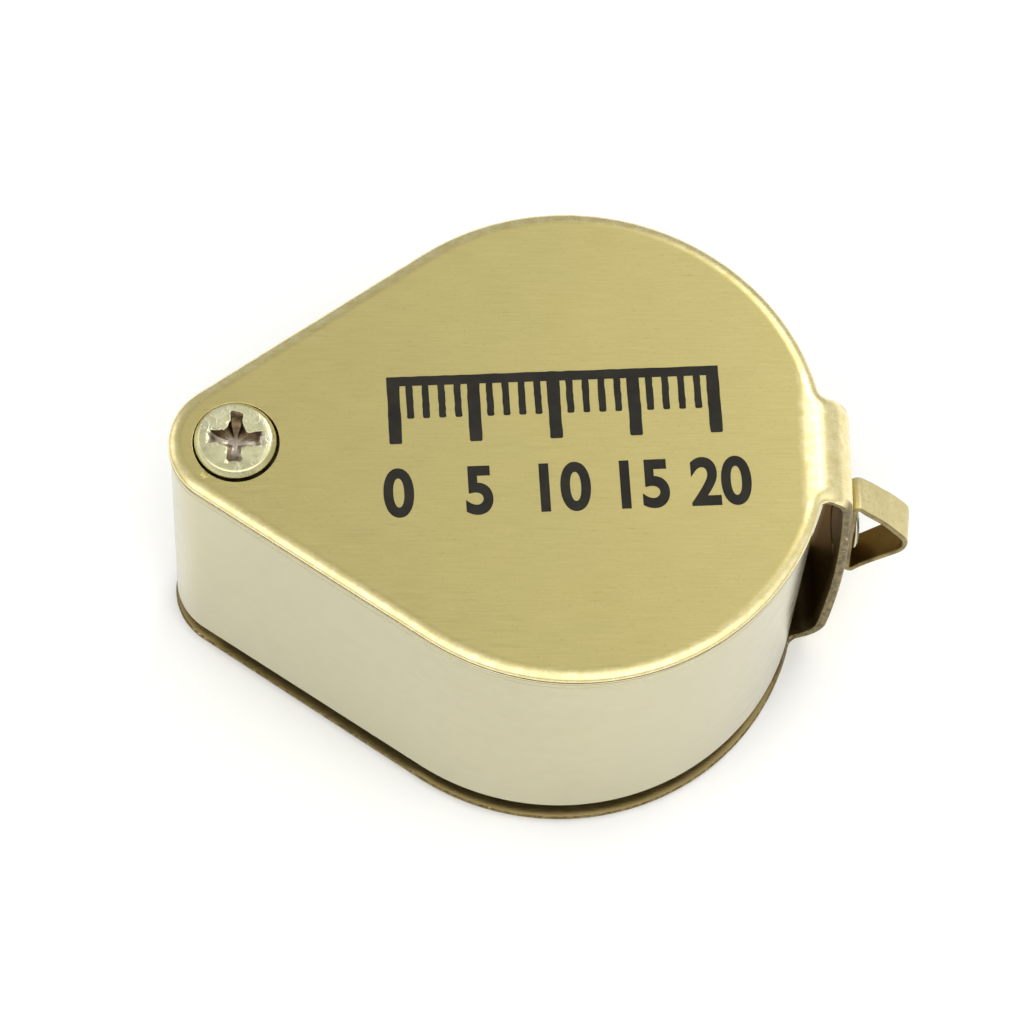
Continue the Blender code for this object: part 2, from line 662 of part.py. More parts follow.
make("pivot_bush", build_bush(), BRASS, housing_axis)
post = make("pivot_post", build_post(), BRASS)
cut(post, slot_box(
    "post_slot", centre_x=-PIVOT_D, half_length=POST_SLOT_REACH, half_width=POST_SLOT_HALF_W,
    low=POST_Z0 - OVERRUN, high=POST_Z0 + POST_SLOT_DEPTH))
screw = make("pivot_screw", build_screw(), SCREW_METAL)
cut(screw, make("driver_recess", build_recess()))
pivot_washer("pivot_flat_washer", FLAT_WASHER_R, LID_Z1 + GAP, UPPER_PLATE_Z - GAP)
pivot_washer("pivot_thrust_washer", THRUST_WASHER_R, THRUST_WASHER_Z0, THRUST_WASHER_Z1)
make("pivot_wave_washer", build_wave_washer(), SPRING)

# ---------------------------------------------------------------- bail (swivels on its rivet)
BAIL_W = 2.50
BAIL_T = 0.50
BAIL_EDGE = 0.08        # chamfer along the strip
BAIL_LEAN = 0.21        # the strip is out of square: mm outwards per mm across
BAIL_LEAN_RUN = 0.7     # the lean grows to its full value over this distance in x
BAIL_TURN = radians(-10.8)   # it rests turned on its rivet by this
SPACER_PLAY = 0.05      # on each side of the washer, and around the rivet
SPACER_R = 1.45         # washer between the spine and the loop
SPACER_X0 = SPINE_X + SPACER_PLAY
SPACER_X1 = SPACER_X0 + 0.20
LEG_X = SPACER_X1 + SPACER_PLAY + BAIL_T / 2   # middle of the leg along the spine
LEG_FACE = LEG_X + BAIL_T / 2                  # its outer face
BAIL_CORNERS = (        # x, z and bend radius, along the middle of the strip
    (LEG_X, 9.53, 0.36), (LEG_X, 16.51, 0.36), (22.32, 12.62, 1.10))
CORNER_STEPS = 5
BAIL_HOLE_X0 = SPINE_X - 0.5
BAIL_HOLE_X1 = SPINE_X + 1.9
RIVET_X0 = SPINE_X - SHEET + 0.03
RIVET_HEAD_R = 1.50
RIVET_DOME = (          # radius, height above the leg's outer face
    (RIVET_HEAD_R, 0.05), (RIVET_HEAD_R - 0.05, 0.16), (1.20, 0.31), (0.65, 0.39), (0, 0.42))


def rounded_loop(corners):
    """A closed polyline in the XZ plane with its corners replaced by arcs."""
    points = [Vector(corner[:2]) for corner in corners]
    path = []
    for i, corner in enumerate(points):
        radius = corners[i][2]
        back = (points[i - 1] - corner).normalized()
        ahead = (points[(i + 1) % len(points)] - corner).normalized()
        half = back.angle(ahead) / 2
        reach = radius / tan(half)
        centre = corner + (back + ahead).normalized() * (radius / sin(half))
        first = corner + back * reach - centre
        last = corner + ahead * reach - centre
        sweep = first.angle(last)
        if first.x * last.y - first.y * last.x <= 0:
            sweep = -sweep
        for k in range(CORNER_STEPS + 1):
            angle = sweep * k / CORNER_STEPS
            c, s = cos(angle), sin(angle)
            path.append(centre + Vector((first.x * c - first.y * s, first.x * s + first.y * c)))
    return path


def bail_point(x, y, z):
    """The lean out of square, and the turn on the rivet."""
    free = min(1.0, max(0.0, (x - LEG_FACE) / BAIL_LEAN_RUN))
    z -= BAIL_Z
    c, s = cos(BAIL_TURN), sin(BAIL_TURN)
    return x + BAIL_LEAN * free * y, SPINE_Y + y * c - z * s, BAIL_Z + y * s + z * c


def build_bail():
    """One strip bent to a closed triangle, with one leg along the spine."""
    path = rounded_loop(BAIL_CORNERS)
    bm = bmesh.new()
    thick, wide = BAIL_T / 2, BAIL_W / 2
    flat, side = thick - BAIL_EDGE, wide - BAIL_EDGE
    section = ((-thick, -side), (-thick, side), (-flat, wide), (flat, wide),
               (thick, side), (thick, -side), (flat, -wide), (-flat, -wide))
    rings = []
    for i, point in enumerate(path):
        before = (point - path[i - 1]).normalized()
        after = (path[(i + 1) % len(path)] - point).normalized()
        tangent = (before + after).normalized()
        normal = Vector((tangent.y, -tangent.x))
        # Widened at a bend, so that the strip keeps its thickness.
        stretch = 1 / max(0.5, normal.dot(Vector((after.y, -after.x))))
        ring = []
        for offset, y in section:
            spot = point + normal * (offset * stretch)
            ring.append(bm.verts.new(bail_point(spot.x, y, spot.y)))
        rings.append(ring)
    skin(bm, rings, closed=True)
    return bm


def build_rivet():
    return about_rivet(
        [(0, RIVET_X0), (RIVET_SINK_R, RIVET_X0), (RIVET_R, RIVET_X0 + RIVET_SINK_H),
         (RIVET_R, LEG_FACE + RIVET_DOME[0][1])]
        + [(radius, LEG_FACE + up) for radius, up in RIVET_DOME])


bail_axis = place("bail_axis", SPINE_X, SPINE_Y, BAIL_Z)
bail = make("bail", build_bail(), GOLD, bail_axis)
bail_hole = oblong(0, RIVET_R + GAP, BAIL_HOLE_X0, BAIL_HOLE_X1)
cut(bail, make("bail_hole", about_rivet(bail_hole, SEG_BAIL_HOLE), parent=bail_axis))
spacer = oblong(RIVET_R + SPACER_PLAY, SPACER_R, SPACER_X0, SPACER_X1)
make("bail_rivet_washer", about_rivet(spacer), BRASS)
make("bail_rivet", build_rivet(), BRASS)
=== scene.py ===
"""Visual model of a folding hand lens.

The lens axis is the Z axis and the pivot lies at -X. The cover is one sheet folded into an
upper plate, a spine at +X and a lower plate; the housing with the glass turns between the
plates, and a cord loop is riveted to the spine.

Sizes are millimetres, with heights measured from the lowest point of the cover. make_piece()
turns them into metres in the frame's coordinates.
"""
import math
import random

import bmesh
import bpy
from mathutils import Matrix, Vector


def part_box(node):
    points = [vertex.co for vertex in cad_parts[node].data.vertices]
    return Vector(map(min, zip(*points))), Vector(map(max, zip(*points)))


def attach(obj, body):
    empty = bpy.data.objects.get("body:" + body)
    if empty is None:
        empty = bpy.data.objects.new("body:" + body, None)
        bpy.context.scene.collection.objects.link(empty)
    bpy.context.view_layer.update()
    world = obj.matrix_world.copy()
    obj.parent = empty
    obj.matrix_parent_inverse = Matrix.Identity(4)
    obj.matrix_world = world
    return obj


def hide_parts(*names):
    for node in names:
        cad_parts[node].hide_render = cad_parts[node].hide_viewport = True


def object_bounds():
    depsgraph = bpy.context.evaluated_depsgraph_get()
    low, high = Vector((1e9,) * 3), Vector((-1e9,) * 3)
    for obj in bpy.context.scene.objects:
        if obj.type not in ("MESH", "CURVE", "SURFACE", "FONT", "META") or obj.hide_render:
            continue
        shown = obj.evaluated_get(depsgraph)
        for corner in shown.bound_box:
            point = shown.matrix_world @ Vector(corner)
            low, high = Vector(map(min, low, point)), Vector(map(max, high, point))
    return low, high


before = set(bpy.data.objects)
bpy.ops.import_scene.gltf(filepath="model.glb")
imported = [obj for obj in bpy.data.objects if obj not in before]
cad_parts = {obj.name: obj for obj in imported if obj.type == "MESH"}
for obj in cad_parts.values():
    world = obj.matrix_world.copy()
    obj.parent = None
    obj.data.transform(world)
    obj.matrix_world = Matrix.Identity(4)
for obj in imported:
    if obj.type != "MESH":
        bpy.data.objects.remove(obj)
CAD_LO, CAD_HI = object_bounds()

MM = 0.001
scene = bpy.context.scene

# ------------------------------------------------------------------ main dimensions, mm
COVER_R, TIP_R = 16.0, 4.16                   # round end and pivot end of the plates
PIVOT_D = 20.86                               # lens axis to pivot
PIVOT = (-PIVOT_D, 0.0)
TIP_LEAN = math.acos((COVER_R - TIP_R) / PIVOT_D)
SIDE_ANGLE = math.pi - TIP_LEAN               # where the round end meets the straight side
SHEET = 0.70
HALF = SHEET / 2
COVER_H = 25.04
TOP_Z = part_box("cover")[1][2] / MM            # outer face of the upper plate in the frame
FOOT = COVER_H - TOP_Z


def heights(node):
    """Lowest and highest point of a frame node."""
    low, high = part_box(node)
    return low[2] / MM + FOOT, high[2] / MM + FOOT


TUB_Z0, TUB_Z1 = heights("housing_tub")
LID_Z1 = heights("housing_lid")[1]
LID_Z0 = LID_Z1 - 0.50
INSET = 0.12                                  # housing edge inside the cover edge
WALL = 0.60
FIT = 0.06                                    # clearance between housing parts
LID_LIP = 0.55
FLOOR_Z = TUB_Z0 + WALL + FIT                 # flanges inside the housing lie between these
FLANGE_TOP = LID_Z0 - LID_LIP - FIT
APERTURE_R, PIVOT_HOLE_R = 11.45, 2.36
SPINE_Y = -0.30                               # centre line of the spine
RIVET_Z = heights("bail_rivet")[0] + 1.50


# ------------------------------------------------------------------ shader graph helpers
class Graph:
    """Short calls for adding and joining shader nodes."""

    def __init__(self, tree):
        self.tree = tree

    def add(self, kind, **settings):
        node = self.tree.nodes.new(kind)
        for key, value in settings.items():
            setattr(node, key, value)
        return node

    def feed(self, socket, value):
        """Link a socket, or set a value; colours may leave out alpha."""
        if isinstance(value, bpy.types.NodeSocket):
            self.tree.links.new(value, socket)
        elif socket.type == "RGBA" and len(value) == 3:
            socket.default_value = (*value, 1.0)
        else:
            socket.default_value = value

    def math(self, operation, *values):
        node = self.add("ShaderNodeMath", operation=operation)
        for i, value in enumerate(values):
            self.feed(node.inputs[i], value)
        return node.outputs[0]

    def plus(self, a, b):
        return self.math("ADD", a, b)

    def times(self, a, b):
        return self.math("MULTIPLY", a, b)

    def span(self, value, over=(0.3, 0.7), to=(0.0, 1.0), clamp=True, kind="LINEAR"):
        """Map the range `over` of a value to the range `to`."""
        node = self.add("ShaderNodeMapRange", clamp=clamp, interpolation_type=kind)
        self.feed(node.inputs["Value"], value)
        for key, number in zip(("From Min", "From Max", "To Min", "To Max"), (*over, *to)):
            self.feed(node.inputs[key], number)
        return node.outputs["Result"]

    def split(self, vector):
        node = self.add("ShaderNodeSeparateXYZ")
        self.feed(node.inputs[0], vector)
        return node.outputs

    def dot(self, a, b):
        node = self.add("ShaderNodeVectorMath", operation="DOT_PRODUCT")
        self.feed(node.inputs[0], a)
        self.feed(node.inputs[1], b)
        return node.outputs["Value"]


class Material(Graph):
    """A Principled material under construction."""

    def __init__(self, name):
        self.mat = bpy.data.materials.new(name)
        self.mat.use_nodes = True
        super().__init__(self.mat.node_tree)

    def math(self, operation, a, b):
        return super().math(operation, a, b, 0.0)      # the third input is held at zero

    def total(self, *parts):
        """Sum of two (value, weight) pairs."""
        first, second = [self.times(value, weight) for value, weight in parts]
        return self.plus(first, second)

    def attribute(self, name):
        return self.add("ShaderNodeAttribute", attribute_name=name).outputs["Fac"]

    def coords(self, which="Object", scale=(1, 1, 1), rotation=(0, 0, 0)):
        source = self.add("ShaderNodeTexCoord")
        mapping = self.add("ShaderNodeMapping")
        self.feed(mapping.inputs["Scale"], scale)
        self.feed(mapping.inputs["Rotation"], rotation)
        self.feed(mapping.inputs["Vector"], source.outputs[which])
        return mapping.outputs["Vector"]

    def noise(self, vector, scale, detail=3.0, rough=0.5):
        node = self.add("ShaderNodeTexNoise")
        for key, value in (("Vector", vector), ("Scale", scale), ("Detail", detail),
                           ("Roughness", rough)):
            self.feed(node.inputs[key], value)
        return node.outputs["Fac"]

    def mix(self, factor, low, high):
        node = self.add("ShaderNodeMix", data_type="RGBA")
        for i, value in ((0, factor), (6, low), (7, high)):
            self.feed(node.inputs[i], value)
        return node.outputs[2]

    def blend(self, low, high, pattern, over=(0.3, 0.7), amount=1.0):
        """From one colour to another, up to `amount`, as the pattern crosses `over`."""
        return self.mix(self.span(pattern, over, to=(0.0, amount)), low, high)

    def bump(self, height, strength, depth=0.02, normal=None):
        """Bump of a depth in millimetres."""
        node = self.add("ShaderNodeBump")
        self.feed(node.inputs["Strength"], strength)
        self.feed(node.inputs["Distance"], depth * MM)
        self.feed(node.inputs["Height"], height)
        if normal is not None:
            self.feed(node.inputs["Normal"], normal)
        return node.outputs["Normal"]

    def finish(self, colour, rough, bump=None, metallic=1.0, **others):
        """Fill the Principled node; underscores in further input names stand for spaces."""
        inputs = {"Base Color": colour, "Metallic": metallic, "Roughness": rough}
        if bump is not None:
            inputs["Normal"] = bump
        inputs.update({key.replace("_", " "): value for key, value in others.items()})
        shader = self.tree.nodes["Principled BSDF"]
        for key, value in inputs.items():
            self.feed(shader.inputs[key], value)
        return self.mat


# ------------------------------------------------------------------ materials
GOLD_LOW, GOLD_HIGH = (0.510, 0.438, 0.172), (0.60, 0.515, 0.218)
GOLD_WARM = (0.61, 0.510, 0.196)
BRIGHT_LOW, BRIGHT_HIGH = (0.76, 0.65, 0.31), (0.88, 0.79, 0.46)     # burnished gold, paler than the face; the paler colour partly paints highlights on rims and the upper bend


def gold_face():
    """Satin gold, brushed along the strip, finely pitted, burnished where "edge" is high, with a
    paler colour there that partly paints highlights.
    """
    n = Material("satin_gold_brushed")
    edge = n.attribute("edge")
    streak = n.noise(n.coords("UV", scale=(0.10, 2.6, 1.0)), scale=3.4, detail=6.0, rough=0.62)
    fine = n.noise(n.coords("UV", scale=(0.55, 9.0, 1.0)), scale=3.0, detail=4.0, rough=0.6)
    cloud = n.noise(n.coords("UV"), scale=0.16, rough=0.55)
    obj = n.coords()
    speck = n.noise(obj, scale=5200.0, detail=2.0, rough=0.6)
    grain = n.noise(obj, scale=1500.0, detail=4.0, rough=0.6)

    tone = n.total((streak, 0.55), (fine, 0.45))
    base = n.blend(GOLD_LOW, GOLD_HIGH, tone, over=(0.35, 0.65))
    base = n.blend(base, GOLD_WARM, cloud, over=(0.35, 0.70), amount=0.30)
    base = n.blend(base, (0.26, 0.21, 0.09), speck, over=(0.60, 0.78), amount=0.22)

    rim = n.blend(BRIGHT_LOW, BRIGHT_HIGH, grain, over=(0.35, 0.70))
    rim = n.blend(rim, (0.46, 0.37, 0.15), speck, over=(0.55, 0.75), amount=0.25)
    lower_plate = n.span(n.split(obj)["Z"], over=(0.0026, 0.0016))
    lower_rim_darkening = n.times(lower_plate, n.span(grain, over=(0.40, 0.66), to=(0.97, 0.45)))
    rim = n.mix(lower_rim_darkening, rim, (0.150, 0.108, 0.040))      # the rim of the lower plate is darker

    wavy = n.plus(edge, n.span(grain, over=(0.25, 0.75), to=(-0.09, 0.09), clamp=False))
    # burnished rim mask: wear, and the paler colour that partly paints the rim highlight
    worn = n.times(n.span(wavy, over=(0.15, 0.60)), n.span(edge, over=(0.0, 0.15)))
    base = n.mix(worn, base, rim)

    rough = n.plus(n.span(streak, to=(0.27, 0.37)), n.span(speck, over=(0.4, 0.8), to=(0.0, 0.06)))
    rough = n.math("SUBTRACT", rough, n.times(worn, 0.05))
    height = n.total((streak, 0.7), (fine, 0.5))
    height = n.times(height, n.math("SUBTRACT", 1.0, worn))
    height = n.plus(height, n.times(n.times(grain, worn), 0.5))
    bump = n.bump(height, strength=0.10)
    bump = n.bump(speck, strength=0.08, normal=bump)
    return n.finish(base, rough, bump)


def gold_edge():
    """Burnished gold with small nicks; its paler colour is partly a painted highlight."""
    n = Material("gold_burnished_edge")
    grain = n.noise(n.coords(), scale=900.0, detail=5.0, rough=0.6)
    fine = n.noise(n.coords(), scale=4200.0, rough=0.6)
    base = n.blend(BRIGHT_LOW, BRIGHT_HIGH, grain, over=(0.35, 0.70))
    base = n.blend(base, (0.30, 0.24, 0.11), fine, over=(0.62, 0.80), amount=0.35)
    rough = n.span(grain, to=(0.20, 0.32))
    bump = n.bump(n.plus(grain, n.times(fine, 0.5)), strength=0.12, depth=0.03)
    return n.finish(base, rough, bump)


def gold_sheared():
    """Sheared side of the sheet: mottled olive brown where the sheared mask is high, partly
    exposed base metal and partly painted shade under the rim; bright elsewhere.
    """
    n = Material("gold_sheared_side")
    obj = n.coords()
    grain = n.noise(n.coords(scale=(1, 1, 0.5)), scale=3800.0, detail=4.0, rough=0.65)
    blotch = n.noise(obj, scale=1100.0, detail=4.0, rough=0.6)
    base = n.blend((0.085, 0.060, 0.018), (0.27, 0.205, 0.078), grain, over=(0.36, 0.64))
    base = n.blend(base, (0.060, 0.042, 0.015), blotch, over=(0.50, 0.70), amount=0.6)
    glint = n.noise(obj, scale=2900.0, detail=2.0)
    base = n.blend(base, (0.62, 0.54, 0.30), glint, over=(0.66, 0.74), amount=0.8)
    bare_and_shade = n.attribute("bare_and_shade")
    uneven = n.plus(bare_and_shade, n.span(blotch, to=(-0.2, 0.2), clamp=False))
    ragged = n.span(uneven, over=(0.15, 0.85))
    base = n.mix(ragged, n.blend(BRIGHT_LOW, BRIGHT_HIGH, grain), base)
    bump = n.bump(grain, strength=0.4, depth=0.04)
    rough = n.span(ragged, over=(0.0, 1.0), to=(0.28, 0.45))
    return n.finish(base, rough, bump, metallic=0.9)


def gold_inside():
    """Inner faces of the cover: dark plate, lighter near the rim, and painted shade that makes it
    darkest inside the spine.
    """
    n = Material("gold_unbuffed_inside")
    edge = n.attribute("edge")
    cloud = n.noise(n.coords(), scale=260.0, detail=5.0, rough=0.6)
    grain = n.noise(n.coords("UV", scale=(0.3, 5.0, 1.0)), scale=3.0, detail=5.0, rough=0.6)
    tone = n.total((grain, 0.8), (cloud, 0.2))
    base = n.blend((0.235, 0.165, 0.062), (0.34, 0.255, 0.105), tone, over=(0.35, 0.68))
    place = n.split(n.coords())
    # painted shade inside the spine, growing below the upper bend
    spine = n.span(place["X"], over=(0.0160, 0.0168))
    shade = n.times(spine, n.span(place["Z"], over=(0.0238, 0.0205)))
    base = n.mix(n.times(shade, 0.8), base, (0.030, 0.017, 0.007))
    base = n.mix(n.times(edge, n.span(cloud, to=(0.35, 0.75))), base, (0.38, 0.31, 0.15))
    rough = n.plus(n.span(grain, to=(0.28, 0.42)), n.times(shade, 0.12))
    bump = n.bump(grain, strength=0.12)
    # the painted shade also dims and browns the grazing reflection
    graze = n.mix(shade, (1.0, 1.0, 1.0), (1.0, 0.72, 0.46))
    return n.finish(base, rough, bump, Specular_Tint=graze)


def hole_side():
    """Side of a sunk hole, painted dark brown as the shade in the gap round the screw head."""
    n = Material("sunk_hole_side_painted_shade")
    cloud = n.noise(n.coords(), scale=1300.0, detail=5.0, rough=0.65)
    base = n.blend((0.022, 0.015, 0.008), (0.15, 0.115, 0.05), cloud, over=(0.42, 0.72))
    return n.finish(base, 0.5, n.bump(cloud, strength=0.4, depth=0.04), metallic=0.6)


def nickel():
    """Polished plate over a drawn wall: faint draw lines and soft mottle."""
    n = Material("nickel_plate")
    mottle = n.noise(n.coords(), scale=900.0, detail=5.0, rough=0.6)
    soft = n.noise(n.coords(), scale=60.0, detail=2.0)
    lines = n.noise(n.coords(scale=(0.06, 0.06, 1.0)), scale=1500.0, detail=4.0, rough=0.6)
    base = n.blend((0.49, 0.455, 0.29), (0.53, 0.495, 0.325), mottle, over=(0.35, 0.68))
    base = n.blend(base, (0.51, 0.468, 0.285), soft, over=(0.35, 0.70), amount=0.4)
    rough = n.plus(n.span(mottle, to=(0.15, 0.24)), n.span(lines, over=(0.4, 0.7), to=(0.0, 0.04)))
    height = n.total((mottle, 0.12), (lines, 0.5))
    return n.finish(base, rough, n.bump(height, strength=0.06))


def screw_metal():
    """Passivated zinc: pale, a little green, with scratches."""
    n = Material("zinc_passivated")
    obj = n.coords()
    cloud = n.noise(obj, scale=900.0, detail=4.0, rough=0.6)
    patches = n.noise(obj, scale=500.0, rough=0.6)
    wave = n.add("ShaderNodeTexWave", wave_type="BANDS", bands_direction="DIAGONAL")
    n.feed(wave.inputs["Vector"], n.coords(rotation=(0, 0, 0.9)))
    for key, value in (("Scale", 700.0), ("Distortion", 14.0), ("Detail", 4.0),
                       ("Detail Scale", 2.2)):
        n.feed(wave.inputs[key], value)
    scratch = n.span(wave.outputs["Fac"], over=(0.72, 0.98))
    scratch = n.times(scratch, n.span(patches, over=(0.42, 0.62)))
    base = n.blend((0.62, 0.59, 0.33), (0.77, 0.745, 0.46), cloud)
    base = n.mix(n.times(scratch, 0.75), base, (0.92, 0.90, 0.80))
    stain = n.noise(obj, scale=2100.0, rough=0.6)
    base = n.blend(base, (0.36, 0.33, 0.16), stain, over=(0.60, 0.78), amount=0.35)
    rough = n.span(cloud, to=(0.22, 0.36))
    bump = n.bump(n.plus(cloud, n.times(scratch, -0.8)), strength=0.25, depth=0.03)
    return n.finish(base, rough, bump)


def screw_recess():
    """Driver recess: painted shade, dark brown, on the +Y side and painted light, pale, on the -Y
    side.
    """
    n = Material("zinc_recess")
    obj = n.coords()
    cloud = n.noise(obj, scale=1500.0, detail=5.0, rough=0.65)
    uneven_y = n.plus(n.split(obj)["Y"], n.span(cloud, to=(-0.0005, 0.0005)))
    lit_side = n.span(uneven_y, over=(0.0007, -0.0004))
    # painted shade for the +Y walls, painted light for the -Y walls
    dark = n.blend((0.030, 0.020, 0.009), (0.20, 0.145, 0.08), cloud, over=(0.35, 0.65))
    pale = n.blend((0.50, 0.42, 0.32), (0.86, 0.78, 0.66), cloud, over=(0.35, 0.65))
    base = n.mix(lit_side, dark, pale)
    bump = n.bump(cloud, strength=0.6, depth=0.06)
    return n.finish(base, n.span(cloud, to=(0.22, 0.40)), bump)


def turned(name, low, high, rough=0.26):
    """Turned metal with a fine even grain."""
    n = Material(name)
    obj = n.coords()
    fine = n.noise(obj, scale=2600.0, detail=4.0, rough=0.6)
    cloud = n.noise(obj, scale=380.0)
    base = n.blend(low, high, cloud)
    bump = n.bump(fine, strength=0.15)
    return n.finish(base, n.span(fine, to=(rough - 0.05, rough + 0.07)), bump)


def black_finish(name, level, rough, metallic):
    """Black coating, rubbed grey along its edges."""
    n = Material(name)
    obj = n.coords()
    fine = n.noise(obj, scale=3000.0, detail=4.0, rough=0.6)
    cloud = n.noise(obj, scale=300.0)
    base = n.blend((level,) * 3, (level * 1.8, level * 1.75, level * 1.7), cloud)
    # an edge is where the bevelled normal leaves the true one
    bevel = n.add("ShaderNodeBevel", samples=6)
    n.feed(bevel.inputs["Radius"], 0.12 * MM)
    true_normal = n.add("ShaderNodeNewGeometry").outputs["Normal"]
    worn = n.span(n.dot(bevel.outputs["Normal"], true_normal), over=(1.0, 0.65))
    rubbed = n.times(worn, n.span(cloud, over=(0.45, 0.65), to=(0.0, 0.5)))
    base = n.mix(rubbed, base, (0.30, 0.29, 0.27))
    bump = n.bump(fine, strength=0.2)
    return n.finish(base, n.span(fine, to=rough), bump, metallic)


def coated_glass():
    """Clear glass with a faint blue coating and a little dust."""
    n = Material("coated_glass")
    obj = n.coords()
    dust = n.noise(obj, scale=2500.0, detail=4.0, rough=0.7)
    cloud = n.noise(obj, scale=120.0, detail=2.0)
    tint = n.blend((0.965, 0.985, 0.975), (0.98, 0.985, 0.99), cloud)
    rough = n.span(dust, over=(0.60, 0.85), to=(0.0, 0.05))
    return n.finish(tint, rough, metallic=0.0, IOR=1.55, Transmission_Weight=1.0,
                    Coat_Weight=0.35, Coat_Roughness=0.02, Coat_Tint=(0.70, 0.82, 1.0))


def nylon():
    n = Material("natural_nylon")
    cloud = n.noise(n.coords(), scale=500.0, detail=4.0, rough=0.6)
    base = n.blend((0.60, 0.58, 0.50), (0.72, 0.70, 0.63), cloud)
    return n.finish(base, n.span(cloud, to=(0.4, 0.55)), n.bump(cloud, strength=0.2),
                    metallic=0.0, Subsurface_Weight=0.15,
                    Subsurface_Radius=(0.001, 0.001, 0.0008), Subsurface_Scale=0.5)


def print_ink():
    """Dark, slightly uneven print."""
    n = Material("print_ink")
    obj = n.coords()
    cloud = n.noise(obj, scale=700.0, detail=5.0, rough=0.65)
    fine = n.noise(obj, scale=4500.0, rough=0.6)
    base = n.blend((0.009, 0.008, 0.005), (0.020, 0.017, 0.011), cloud)
    bump = n.bump(fine, strength=0.3)
    return n.finish(base, n.span(fine, to=(0.46, 0.65)), bump, metallic=0.0,
                    Specular_IOR_Level=0.22)


def loop_gold(name, low, high, rough, speck_amount):
    n = Material(name)
    cloud = n.noise(n.coords(), scale=480.0, detail=5.0, rough=0.65)
    speck = n.noise(n.coords(), scale=3600.0, rough=0.65)
    base = n.blend(low, high, cloud, over=(0.32, 0.70))
    base = n.blend(base, (0.20, 0.15, 0.06), speck, over=(0.56, 0.78), amount=speck_amount)
    bump = n.bump(n.plus(cloud, speck), strength=0.22, depth=0.03)
    return n.finish(base, n.span(speck, to=rough), bump)


FACE_GOLD = gold_face()
EDGE_GOLD = gold_edge()
SHEARED_GOLD = gold_sheared()
INSIDE_GOLD = gold_inside()
HOLE_SIDE = hole_side()
NICKEL = nickel()
ZINC = screw_metal()
ZINC_RECESS = screw_recess()
BRASS = turned("turned_brass", low=(0.58, 0.45, 0.20), high=(0.72, 0.58, 0.29))
PALE_RIVET = turned("rivet_pale", low=(0.60, 0.57, 0.43), high=(0.74, 0.71, 0.57), rough=0.44)
STEEL = turned("spring_steel", low=(0.42, 0.42, 0.42), high=(0.56, 0.56, 0.57), rough=0.28)
BLACK = black_finish("black_anodised", level=0.012, rough=(0.32, 0.46), metallic=0.3)
BAFFLE = black_finish("black_matt_bore", level=0.008, rough=(0.55, 0.75), metallic=0.0)
GLASS = coated_glass()
NYLON = nylon()
INK = print_ink()
LOOP_OUTSIDE = loop_gold("loop_gold_outside", low=(0.59, 0.505, 0.245), high=(0.75, 0.655, 0.35),
                         rough=(0.40, 0.52), speck_amount=0.30)
# the inner faces of the loop are painted dark brown, as the shade inside the loop
LOOP_INSIDE = loop_gold("loop_gold_inside_painted_shade", low=(0.125, 0.072, 0.018), high=(0.19, 0.118, 0.034),
                        rough=(0.36, 0.50), speck_amount=0.4)
LOOP_CUT = loop_gold("loop_gold_cut", low=(0.085, 0.055, 0.022), high=(0.42, 0.35, 0.17),
                     rough=(0.36, 0.50), speck_amount=0.6)


# ------------------------------------------------------------------ pieces and cutters
def make_piece(name, bm, body=None, node=None, mats=(), weighted=True, angle=38):
    """Object from a mesh in millimetres, riding on a body and standing in for a frame node."""
    bmesh.ops.recalc_face_normals(bm, faces=bm.faces)
    bm.transform(Matrix.Scale(MM, 4) @ Matrix.Translation((0, 0, -FOOT)))
    mesh = bpy.data.meshes.new(name)
    bm.to_mesh(mesh)
    bm.free()
    for mat in mats:
        mesh.materials.append(mat)
    mesh.shade_smooth()
    mesh.set_sharp_from_angle(angle=math.radians(angle))
    obj = bpy.data.objects.new(name, mesh)
    scene.collection.objects.link(obj)
    if body:
        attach(obj, body)
    if node:
        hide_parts(node)
    obj["weighted"] = weighted                # stays on the object as a custom property
    return obj


def weigh_normals(obj):
    mod = obj.modifiers.new("face_weighted_normals", "WEIGHTED_NORMAL")
    mod.keep_sharp = True
    mod.weight = 60


def hole(name, radius, low, high, mat, **lathe_options):
    """Cylindrical cutter between two heights."""
    profile = [(0, low), (radius, low), (radius, high), (0, high)]
    return make_piece(name, lathe(profile, **lathe_options), mats=[mat])


def box_cutter(name, centre, size, mat):
    bm = bmesh.new()
    bmesh.ops.create_cube(bm, size=1.0)
    bm.transform(Matrix.Translation(centre) @ Matrix.Diagonal((*size, 1)))
    return make_piece(name, bm, mats=[mat])


def cut(obj, *cutters):
    """Subtract the cutters, keep the result as the piece's mesh, then weigh its normals."""
    for tool in cutters:
        mod = obj.modifiers.new("cut_" + tool.name, "BOOLEAN")
        mod.operation = "DIFFERENCE"
        mod.solver = "EXACT"
        mod.object = tool
        mod.material_mode = "TRANSFER"
    bpy.context.view_layer.update()
    graph = bpy.context.evaluated_depsgraph_get()
    mesh = bpy.data.meshes.new_from_object(obj.evaluated_get(graph), preserve_all_data_layers=True,
                                           depsgraph=graph)
    obj.modifiers.clear()
    old, obj.data = obj.data, mesh
    bpy.data.meshes.remove(old)
    for tool in cutters:
        data = tool.data
        bpy.data.objects.remove(tool)
        bpy.data.meshes.remove(data)
    weigh_normals(obj)


# ------------------------------------------------------------------ shape helpers
def clamp(value):
    return min(1.0, max(0.0, value))


def ease(t):
    return t * t * (3 - 2 * t)


